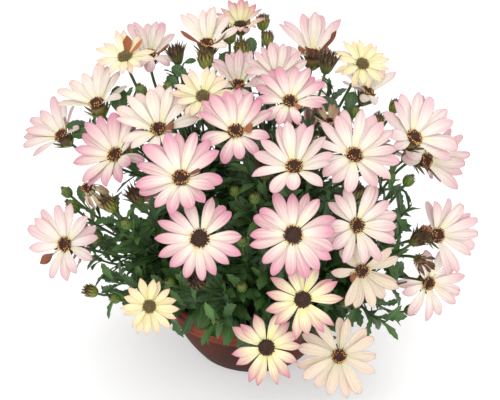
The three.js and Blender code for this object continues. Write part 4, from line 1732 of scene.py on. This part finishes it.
# Rows of a leaf: share of its length and of its half width, narrow at its foot, with coarse teeth.
LEAF_OUTLINE = (
    (0.0, 0.15), (0.12, 0.18), (0.24, 0.28), (0.36, 0.62), (0.42, 0.44), (0.55, 0.92), (0.61, 0.64),
    (0.73, 1.0), (0.79, 0.66), (0.88, 0.6), (0.93, 0.32), (1.0, 0.05),
)
FROND_OUTLINE = (
    (0.0, 0.2), (0.12, 0.34), (0.24, 0.6), (0.36, 0.84), (0.42, 0.78), (0.54, 1.0), (0.6, 0.88),
    (0.72, 0.9), (0.78, 0.72), (0.88, 0.6), (0.95, 0.32), (1.0, 0.06),
)
YOUNG_OUTLINE = ((0.0, 0.2), (0.3, 0.5), (0.6, 1.0), (0.67, 0.7), (0.84, 0.62), (0.9, 0.36), (1.0, 0.06))
BRACT_OUTLINE = ((0.0, 0.7), (0.3, 1.0), (0.6, 0.88), (0.85, 0.5), (1.0, 0.08))

# The side of a full cup over its foot: share of its length and radius in millimetres.
CUP_SIDE = ((0.16, 3.4), (0.4, 4.9), (0.7, 5.7), (1.0, 5.7))

# Over what height a head or a bud stands on a stalk that is mostly bare.
HIGH = 190.0

# A bud's two rings of bracts: where they start and end on its height, and how far a closed bud's flare.
BUD_RINGS = ((0.04, 0.84, 0.34), (0.22, 1.14, 0.12))

# A bud's side: share of its height and its girth against its greatest radius.
BUD_SIDES: Mapping[Stage, Sequence[tuple[float, float]]] = {
    Stage.CLOSED: ((0.0, 0.35), (0.12, 0.74), (0.36, 0.94), (0.62, 0.86), (0.84, 0.58), (1.0, 0.16)),
    Stage.MOUTHED: ((0.0, 0.35), (0.12, 0.72), (0.36, 0.94), (0.62, 0.96), (0.84, 0.86), (1.0, 0.5)),
    Stage.OLD: ((0.0, 0.3), (0.12, 0.52), (0.36, 0.74), (0.62, 0.86), (0.84, 0.88), (1.0, 0.6)),
}


def bud_girth(stage: Stage, height: float) -> float:
    """Reads a bud's side.

    Args:
        stage: How far the bud has come.
        height: A share of its height.

    Returns:
        Its girth there, against its radius.
    """
    side = BUD_SIDES[stage]
    for (low, low_girth), (high, high_girth) in zip(side, side[1:]):
        if height <= high:
            return blend(low_girth, high_girth, (height - low) / (high - low))
    return side[-1][1]


@dataclass(frozen=True)
class ShootSizes:
    """The sizes of a shoot's parts: radii of its wood, counts, and lengths in millimetres."""

    soil_top: float = 53.0
    root_depth: float = 12.0
    stem: float = 3.1
    branch: float = 1.7
    twig: float = 0.8
    stalk: float = 1.25
    neck: float = 1.6
    branches: int = 11
    opening: float = 118.0  # degrees that the branches fan out through
    leaves_per_branch: int = 15
    leaf: float = 31.0
    leaf_half: float = 5.3
    leaf_thickness: float = 0.5
    leaf_columns: int = 4
    leaf_step: float = 6.5  # from leaf to leaf up a stalk
    sprig_step: float = 5.0  # from leaf to leaf up a side branch
    floor_room: float = 14.0  # how high over the floor leaves stay
    pot_top: float = 66.0  # under what height they keep out of the pot
    pot_reach: float = 79.0
    full_head: float = 34.0  # the size of the head on a full cup
    calyx: float = 12.5
    bracts: int = 12
    bud_height: float = 2.4  # against its radius
    bud_bracts: int = 11  # in each of its two rings
    rolled_petals: int = 22


class Shoot:
    """One leafy shoot: stem, branches, leaves, flower stalks with their cups, and buds."""

    GREEN, BRACT, YOUNG_BRACT, OLD_BRACT, ROLLED, OLD_ROLLED = range(6)
    TOP, UNDER, YOUNG = range(3)
    BUD_BRACTS = {Stage.CLOSED: YOUNG_BRACT, Stage.MOUTHED: BRACT, Stage.OLD: OLD_BRACT}

    def __init__(self, number: int, heads: Sequence[Head], buds: Sequence[Bud],
                 sizes: ShootSizes = ShootSizes()) -> None:
        """Finds what the shoot carries.

        Args:
            number: Its number, from 1.
            heads: Every head of the plant.
            buds: Every bud of the plant.
            sizes: The sizes of its parts.
        """
        self.number = number
        self.sizes = sizes
        self.wood, self.leaves = Mould(), Mould()
        self.sprout = SPROUTS[number - 1]
        self.heart = self.sprout.heart_place()
        self.obstacles = [*heads, *buds]
        self.heads = [head for head in heads if carrier_of(head.centre) == number]
        self.buds = [bud for bud in buds if carrier_of(bud.centre) == number]
        places = [on_layout(*row) for row in SPRIGS]
        self.tips = [place for place in places if carrier_of(place) == number]
        self.fronds = [frond for frond in FRONDS if carrier_of(frond.foot()) == number]

    def build(self) -> None:
        """Builds the green wood and the leaves, and lets them stand for the shoot's solid."""
        self._stem()
        self._branches()
        for index, head in enumerate(self.heads):
            self._head_stalk(head, index)
        for index, bud in enumerate(self.buds):
            self._bud(bud, index)
        for index, place in enumerate(self.tips):
            self._sprig(place, index)
        for frond in self.fronds:
            self._frond(frond)
        green = self.wood.cast(f"stalks_{self.number}", [
            StalkFinish("stalk_green"), BRACT_RIPE, BRACT_YOUNG, BRACT_OLD, ROLLED_FRESH, ROLLED_OLD,
        ])
        blades = self.leaves.cast(f"leaves_{self.number}", [LEAF_TOP, LEAF_UNDER, YOUNG_TOP])
        for piece in (green, blades):
            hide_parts(f"shoot_{self.number}")

    def _wood(self, points: Sequence[Vector], foot: float, tip: float, sides: int = 6) -> None:
        """Grows a stem or branch through points, which tapers from one radius to another."""
        last = len(points) - 1
        self.wood.tube(points, [blend(foot, tip, i / last) for i in range(last + 1)], sides, self.GREEN)

    def _stem(self) -> None:
        """Grows the main stem out of its hole in the soil to the leafy heart."""
        sizes, heart = self.sizes, self.heart
        foot = self.sprout.root_place() + SKY * (sizes.soil_top - sizes.root_depth)
        neck = foot + SKY * (sizes.root_depth + 4.0)
        route = Route(neck, neck + SKY * ((heart.z - neck.z) * 0.5), heart.lerp(neck, 0.3), heart)
        points = [foot, foot + SKY * sizes.root_depth] + route.points(8)
        self._wood(points, sizes.stem, sizes.stem * 0.62, 10)

    def _branches(self) -> None:
        """Fans leafy branches out of the heart."""
        sizes, sprout, heart = self.sizes, self.sprout, self.heart
        outward = sprout.outward()
        face = Face(outward)
        for k in range(sizes.branches):
            share = (k + 0.5) / sizes.branches
            opening = math.acos(1.0 - share * (1.0 - math.cos(math.radians(sizes.opening))))
            around = face.around(k * GOLDEN_ANGLE + self.number * 0.9)
            way = outward * math.cos(opening) + around * math.sin(opening)
            tip = heart + way * (sprout.size * (1.02 + 0.12 * wobble(k, self.number)))
            route = Route(heart, heart + way * 12.0 - SKY * 2.0, tip - (way + SKY * 0.7) * 9.0, tip)
            self._wood(route.points(6), sizes.branch, sizes.twig)
            for i in range(sizes.leaves_per_branch):
                along = 0.28 + 0.72 * i / (sizes.leaves_per_branch - 1)
                self._leaf(route, along, k * 40 + i, 1.0 - 0.5 * max(0.0, along - 0.72) / 0.28)

    def _sprig(self, tip: Vector, index: int) -> None:
        """Grows a side branch that ends in a leafy tip.

        Args:
            tip: Where it ends.
            index: Its number on the shoot.
        """
        sizes, outward = self.sizes, (tip - self.heart).normalized()
        route = Route.stalk(self.sprout, tip, (outward + SKY * 0.6).normalized())
        self._wood([self.heart] + route.points(8), sizes.branch, sizes.twig)
        count = max(8, round((tip - route.start).length / sizes.sprig_step))
        for k in range(count):
            part = k / (count - 1)
            scale = blend(1.0, 0.55, part ** 3)
            self._leaf(route, blend(0.12, 1.0, part), 820 + index * 30 + k, scale)

    def _frond(self, frond: Frond) -> None:
        """Grows a broad leaf on a thin branch of its own.

        Args:
            frond: The leaf's row.
        """
        foot, tip = frond.foot(), frond.tip()
        along = (tip - foot).normalized()
        arrival = (along + (foot - self.heart).normalized()).normalized()
        route = Route.stalk(self.sprout, foot, arrival)
        self._wood([self.heart] + route.points(8), 1.5, 0.7)
        normal = NEAR + SKY * 0.5
        normal = (normal - along * normal.dot(along)).normalized()
        blade = Blade.bent(foot, along, normal, (tip - foot).length * 1.04, FROND_OUTLINE, frond.half,
                           lambda part: math.radians(26.0) * part - math.radians(10.0))
        self._lay(blade, self.TOP, lambda out, part: 0.22 * abs(out))

    def _lay(self, blade: Blade, top: int, section: Callable[[float, float], float]) -> None:
        """Casts a leaf with a section, from the number of its upper side's material."""
        sizes = self.sizes
        self.leaves.blade(blade, sizes.leaf_columns, sizes.leaf_thickness, (top, self.UNDER), section)

    def _leaf(self, route: Route, share: float, seed: int, scale: float) -> None:
        """Grows one leaf on a branch, turned clear of the heads, or none if nothing is clear.

        Args:
            route: The branch or stalk that carries it.
            share: How far along the branch it stands.
            seed: What its own shape is drawn from.
            scale: Its size against a full leaf.
        """
        sizes, own = self.sizes, self.number * 1000 + seed
        root, way = route.at(share), route.way(share)
        face, young = Face(way), scale < 0.66
        spread = blend(0.55, 1.5, 0.5 + 0.5 * wobble(own, 1)) * (0.75 if scale < 0.8 else 1.0)
        length = sizes.leaf * scale * (1.0 + 0.22 * wobble(own, 2))
        half = sizes.leaf_half * length / sizes.leaf
        droop = math.radians(34.0 + 24.0 * wobble(own, 3))
        twist, sway = math.radians(18.0 * wobble(own, 4)), math.radians(14.0 * wobble(own, 7))
        fold, ruffle = 0.26 + 0.1 * wobble(own, 5), 0.12 * wobble(own, 6)
        for attempt in range(4):
            around = face.around(seed * GOLDEN_ANGLE + attempt * 1.3)
            along = (way + around * spread + SKY * 0.15).normalized()
            normal = SKY * 0.6 + way * 0.8 - around * 0.3
            normal = (normal - along * normal.dot(along)).normalized()
            blade = Blade.bent(root, along, normal, length, YOUNG_OUTLINE if young else LEAF_OUTLINE,
                               half, lambda part: droop * part ** 1.3, twist, sway)
            if self._is_clear(blade):
                self._lay(blade, self.YOUNG if young else self.TOP, lambda out, part: (
                    fold * abs(out) + ruffle * out * out * math.sin(14.0 * part + out)))
                return

    def _is_clear(self, blade: Blade) -> bool:
        """Checks that a leaf hides no head or bud, and stays over the floor and out of the pot.

        Args:
            blade: The leaf.

        Returns:
            Whether it does.
        """
        sizes = self.sizes
        for share in (0.45, 0.75, 1.0):
            place = blade.middle_at(share)
            if place.z < sizes.floor_room or any(thing.hides(place) for thing in self.obstacles):
                return False
            if place.z < sizes.pot_top and place.xy.length < sizes.pot_reach:
                return False
        return True

    def _head_stalk(self, head: Head, index: int) -> None:
        """Grows the bare stalk of a head, a few leaves at its foot, and the green cup at its end.

        Args:
            head: The head.
            index: Its number on the shoot.
        """
        sizes = self.sizes
        scale = head.size / sizes.full_head
        seat = head.centre - head.axis * 1.2
        route = Route.stalk(self.sprout, seat, head.axis)
        points = [self.heart] + route.points(14)[:-1] + [seat - head.axis * (sizes.calyx * scale)]
        radii = [sizes.stalk * 1.25] * 3 + [sizes.stalk] * (len(points) - 4) + [sizes.neck]
        self.wood.tube(points, radii, 8, self.GREEN)
        self._calyx(seat, head.axis, scale, math.radians(head.lift))
        self._stalk_leaves(route, 600 + index * 20, 0.62 if head.centre.z < HIGH else 0.5)

    def _stalk_leaves(self, route: Route, seed: int, reach: float) -> None:
        """Grows alternate leaves up the lower part of a stalk, smaller towards its bare end.

        Args:
            route: The stalk.
            seed: What their own shapes are drawn from.
            reach: How far up the stalk they go.
        """
        count = max(3, round((route.end - route.start).length * reach / self.sizes.leaf_step))
        for k in range(count):
            part = k / (count - 1)
            self._leaf(route, blend(0.06, reach, part), seed + k, blend(0.95, 0.55, part))

    def _calyx(self, seat: Vector, axis: Vector, scale: float, lift: float) -> None:
        """Grows the cup of bracts under a head.

        Args:
            seat: The middle of the cup's mouth.
            axis: The way the head faces.
            scale: Its size against a full cup.
            lift: How far the petals rise, which the bracts' tips follow.
        """
        sizes, face = self.sizes, Face(axis)
        depth = sizes.calyx * scale
        points = [seat - axis * (depth * (1.0 - share)) for share, _ in CUP_SIDE]
        radii = [sizes.neck] + [radius * scale for _, radius in CUP_SIDE]
        self.wood.tube([seat - axis * depth] + points, radii, 12, self.BRACT)
        bend = math.radians(10.0) - lift * 0.4
        for k in range(sizes.bracts):
            radial = face.around(2 * math.pi * (k + 0.1 * wobble(k, 9)) / sizes.bracts)
            root = seat - axis * (depth * 0.93) + radial * (2.8 * scale)
            along = (axis * 0.9 + radial * 0.55).normalized()
            blade = Blade.bent(root, along, radial, depth * 1.22, BRACT_OUTLINE, 1.75 * scale,
                               lambda share: bend * share - math.radians(12.0) * (1.0 - share))
            self.wood.blade(blade, 2, 0.5, (self.BRACT, self.BRACT), lambda out, share: -0.25 * out * out)

    def _bud(self, bud: Bud, index: int) -> None:
        """Grows a bud on its stalk: an egg wrapped in bracts, with rolled petals unless it is closed.

        Args:
            bud: The bud.
            index: Its number on the shoot.
        """
        sizes, size, face = self.sizes, bud.size, Face(bud.axis)
        closed, side, bract = bud.stage is Stage.CLOSED, BUD_SIDES[bud.stage], self.BUD_BRACTS[bud.stage]
        foot = bud.centre - bud.axis * (size * 1.3)
        route = Route.stalk(self.sprout, foot, bud.axis)
        points = [self.heart] + route.points(10)
        radii = [sizes.stalk * 1.2] * 3 + [sizes.stalk * 0.9] * (len(points) - 3)
        self.wood.tube(points, radii, 8, self.GREEN)
        self._stalk_leaves(route, 300 + index * 20, 0.8 if bud.centre.z < HIGH else 0.5)
        filled = 1.0 if closed else 0.8
        core = [foot + bud.axis * (sizes.bud_height * size * share * filled) for share, _ in side]
        self.wood.tube(core, [size * girth for _, girth in side], 12, bract)
        for ring, (low, high, flare) in enumerate(BUD_RINGS):
            spread = flare if closed else 0.3
            for k in range(sizes.bud_bracts):
                radial = face.around(2 * math.pi * (k + 0.5 * ring) / sizes.bud_bracts)
                middles = []
                for share, _ in BRACT_OUTLINE:
                    height = blend(low, high, share)
                    girth = bud_girth(bud.stage, height) + 0.1 + 0.06 * wobble(k, index + ring) * share
                    girth += spread * share ** 3
                    up = bud.axis * (sizes.bud_height * size * height)
                    middles.append(foot + up + radial * (size * girth))
                blade = Blade.draped(middles, radial, BRACT_OUTLINE, size * 0.27)
                self.wood.blade(blade, 2, 0.4, (bract, bract), lambda out, share: -0.35 * out * out)
        if not closed:
            self._rolled_petals(bud, foot, index)

    def _rolled_petals(self, bud: Bud, foot: Vector, index: int) -> None:
        """Fills a bud's mouth with rolled petals, which stand up, or splay if the bud is old.

        Args:
            bud: The bud.
            foot: The bud's foot.
            index: The bud's number on the shoot.
        """
        face, size, count = Face(bud.axis), bud.size, self.sizes.rolled_petals
        old = bud.stage is Stage.OLD
        slot, splay, stretch = (self.OLD_ROLLED, 0.8, 1.1) if old else (self.ROLLED, 0.4, 1.0)
        for k in range(count):
            reach = math.sqrt((k + 0.5) / count)
            radial = face.around(k * GOLDEN_ANGLE + index)
            lean = (bud.axis + radial * (reach * (splay + 0.16 * wobble(k, index)))).normalized()
            root = foot + bud.axis * (size * 1.1) + radial * (size * 0.66 * reach)
            tall = size * (1.8 - 0.3 * reach + 0.3 * wobble(k, 4)) * stretch
            self.wood.knob(root, lean, size * 0.16, tall, size * 0.03, 6, slot)


# ---------------- pot and soil


@dataclass(frozen=True)
class Pot:
    """The low bowl: a rim band with faint grooves, a step under it and a bulging side."""

    rim: float = 75.0
    height: float = 60.0
    band: float = 18.0
    step: float = 3.2
    foot: float = 47.0
    bulge: float = 3.2
    wall: float = 5.0
    floor: float = 6.0
    lip: float = 2.2  # the radius of the rim's rounded outer edge
    grooves: tuple[float, float] = (5.0, 12.4)  # over the foot of the band
    groove_half: float = 0.7
    groove_depth: float = 0.45
    drain_radius: float = 4.0
    drain_reach: float = 28.0
    drains: int = 3
    side_steps: int = 14
    turns: int = 96

    def wall_radius(self, height: float) -> float:
        """The outer radius of the side at a height."""
        share = min(1.0, height / (self.height - self.band))
        return blend(self.foot, self.rim - self.step, share) + self.bulge * math.sin(math.pi * share)

    def profile(self) -> list[tuple[float, float]]:
        """Draws the section, from the middle of the underside, over the rim, to the middle of the floor.

        Returns:
            Radii and heights.
        """
        rim, top, foot, half = self.rim, self.height, self.foot, self.groove_half
        start = top - self.band
        side = [start * i / self.side_steps for i in range(1, self.side_steps + 1)]
        outer = [(0.0, 0.0), (foot - 2.4, 0.0), (foot - 1.0, 0.5), (foot, 1.6)]
        outer += [(self.wall_radius(z), z) for z in side]
        outer += [(rim - 1.4, start + 0.25), (rim - 0.5, start + 0.9), (rim, start + 2.0)]
        for groove in (start + offset for offset in self.grooves):
            outer += [(rim, groove - half), (rim - self.groove_depth, groove), (rim, groove + half)]
        for turn in (math.pi / 2 * i / 6 for i in range(7)):
            across, up = self.lip * math.cos(turn), self.lip * math.sin(turn)
            outer.append((rim - self.lip + across, top - self.lip + up))
        outer += [(rim - 3.8, top - 0.5), (rim - 5.2, top - 2.6)]
        inner = [(self.wall_radius(z) - self.wall, z) for z in side if z > self.floor + 3.0]
        corner = self.wall_radius(self.floor) - self.wall
        base = [(corner - 0.4, self.floor + 1.2), (corner - 2.0, self.floor), (0.0, self.floor)]
        return outer + inner[::-1] + base

    def build(self) -> None:
        """Throws the bowl, drills its drains and lets it stand for its solid."""
        mould = Mould()
        mould.spin(self.profile(), self.turns)
        piece = mould.cast("bowl", [TerracottaFinish("terracotta", self.height - self.band)])
        self._drill(piece)
        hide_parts("pot")

    def _drill(self, piece: bpy.types.Object) -> None:
        """Cuts the drain holes through the floor.

        Args:
            piece: The bowl.
        """
        bm = bmesh.new()
        radius = self.drain_radius * MM
        for i in range(self.drains):
            place = bearing_vector(360.0 / self.drains * i) * self.drain_reach
            bmesh.ops.create_cone(
                bm, cap_ends=True, segments=32, radius1=radius, radius2=radius,
                depth=self.floor * 3 * MM, matrix=Matrix.Translation(place * MM),
            )
        drill = placed("drill", settled(bm, "drill"))
        cut = piece.modifiers.new("drains", "BOOLEAN")
        cut.object = drill
        cut.operation = "DIFFERENCE"
        depsgraph = bpy.context.evaluated_depsgraph_get()
        drilled = bpy.data.meshes.new_from_object(piece.evaluated_get(depsgraph))
        piece.modifiers.clear()
        piece.data = drilled
        bpy.data.objects.remove(drill)


@dataclass(frozen=True)
class Soil:
    """The soil: a domed, lumpy fill with loose crumbs."""

    pot: Pot
    edge: float = 49.0
    crown: float = 4.0
    lump: float = 0.9
    gap: float = 0.4
    crumbs: int = 260
    crumb: float = 1.1
    turns: int = 64
    rings: int = 20

    def top(self, place: Vector) -> float:
        """Measures the lumpy surface.

        Args:
            place: A place.

        Returns:
            The surface's height there.
        """
        reach = min(1.0, place.xy.length / self._reach())
        lump = self.lump * wobble(round(place.x / 3), round(place.y / 3)) * (1.0 - reach ** 6)
        return self.edge + self.crown * (1.0 - reach * reach) + lump

    def _reach(self) -> float:
        """The radius of the surface."""
        return self.pot.wall_radius(self.edge) - self.pot.wall - self.gap

    def build(self) -> None:
        """Fills the bowl and lets the fill stand for its solid."""
        mould = Mould()
        pot, gap = self.pot, self.gap
        bottom = [(0.0, pot.floor + gap), (pot.wall_radius(pot.floor) - pot.wall - 2.4, pot.floor + gap)]
        sides = [(pot.wall_radius(z) - pot.wall - gap, z) for z in (10.0, 18.0, 26.0, 34.0, 42.0)]
        surface = [(self._reach() * i / self.rings, self.edge) for i in range(self.rings, -1, -1)]
        mould.spin(bottom + sides + surface, self.turns)
        for vert in mould.bm.verts:
            if abs(vert.co.z - self.edge) < 0.01:
                vert.co.z = self.top(vert.co)
        self._scatter(mould)
        piece = mould.cast("potting_soil", [SoilFinish("soil")])
        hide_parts("soil")

    def _scatter(self, mould: Mould) -> None:
        """Strews loose crumbs over the surface.

        Args:
            mould: What they are added to.
        """
        for k in range(self.crumbs):
            reach = (self._reach() - 3.0) * math.sqrt((k + 0.5) / self.crumbs)
            place = Vector((reach * math.cos(k * GOLDEN_ANGLE), reach * math.sin(k * GOLDEN_ANGLE), 0.0))
            size = self.crumb + 0.6 * wobble(k, 3)
            place.z = self.top(place) + size * 0.2
            made = bmesh.ops.create_icosphere(
                mould.bm, subdivisions=1, radius=size, matrix=Matrix.Translation(place),
            )["verts"]
            for i, vert in enumerate(made):
                vert.co += (vert.co - place) * (0.35 * wobble(k, i))


# ---------------- the studio


@dataclass(frozen=True)
class Lamp:
    """A soft square light: where it hangs and its side, in metres, and its power in watts."""

    name: str
    place: tuple[float, float, float]
    side: float
    power: float

    def hang(self) -> None:
        """Hangs it, looking at the plant."""
        data = bpy.data.lights.new(self.name, "AREA")
        data.shape = "SQUARE"
        data.size = self.side
        data.energy = self.power
        place = Vector(self.place)
        aim(placed(self.name, data), place, HEART * MM - place)


def aim(thing: bpy.types.Object, place: Vector, way: Vector) -> None:
    """Puts a light or the camera in place.

    Args:
        thing: The light or camera.
        place: Its place, in metres.
        way: The way it looks.
    """
    thing.location = place
    thing.rotation_mode = "QUATERNION"
    thing.rotation_quaternion = way.to_track_quat("-Z", "Y")


# A key light in front, a broad fill at its right, and a light over the plant.
LAMPS = (
    Lamp("key", (-0.3, -2.1, 1.4), 1.7, 27.0),
    Lamp("fill", (1.3, -1.9, 0.9), 1.8, 9.0),
    Lamp("top", (0.2, 0.5, 2.0), 2.0, 12.0),
)


@dataclass(frozen=True)
class Studio:
    """A plain pale floor, soft light and the camera."""

    lens: float = 85.0
    sensor: float = 36.0
    floor_half: float = 8.0
    sky: float = 0.8

    def build(self) -> None:
        """Lays the floor, hangs the lights and sets the camera."""
        self._floor()
        for lamp in LAMPS:
            lamp.hang()
        self._sky()
        self._camera()
        bpy.context.scene.view_settings.view_transform = "Standard"

    def _floor(self) -> None:
        """Lays the floor just under the pot."""
        bm = bmesh.new()
        bmesh.ops.create_grid(bm, x_segments=1, y_segments=1, size=self.floor_half)
        floor = placed("floor", settled(bm, "floor"))
        floor.data.materials.append(FloorFinish("pale_floor").material())

    def _sky(self) -> None:
        """Sets the even light from all round."""
        world = bpy.data.worlds.new("even_sky")
        world.use_nodes = True
        sky = world.node_tree.nodes["Background"]
        sky.inputs["Color"].default_value = (1.0, 1.0, 1.0, 1.0)
        sky.inputs["Strength"].default_value = self.sky
        bpy.context.scene.world = world

    def _camera(self) -> None:
        """Sets the camera on the line of sight through the layout plane."""
        data = bpy.data.cameras.new("camera")
        data.lens = self.lens
        data.sensor_width = self.sensor
        camera = placed("camera", data)
        aim(camera, (HEART + NEAR * SIGHT) * MM, -NEAR)
        bpy.context.scene.camera = camera


# ---------------- the finished scene


def main() -> None:
    """Builds the studio, the pot, the soil, the heads and the shoots."""
    logging.basicConfig(level=logging.INFO, format="%(message)s")
    Studio().build()
    pot = Pot()
    pot.build()
    Soil(pot).build()
    heads = [Head.sighted(row) for row in SIGHTED_HEADS] + [Head.rounded(row) for row in ROUNDED_HEADS]
    buds = [Bud.sighted(row) for row in BUDS + DEEP_BUDS]
    for number, head in enumerate(heads, start=1):
        Bloom(number, head).build()
    for number in range(1, len(SPROUTS) + 1):
        Shoot(number, heads, buds).build()


if __name__ == "__main__":
    main()
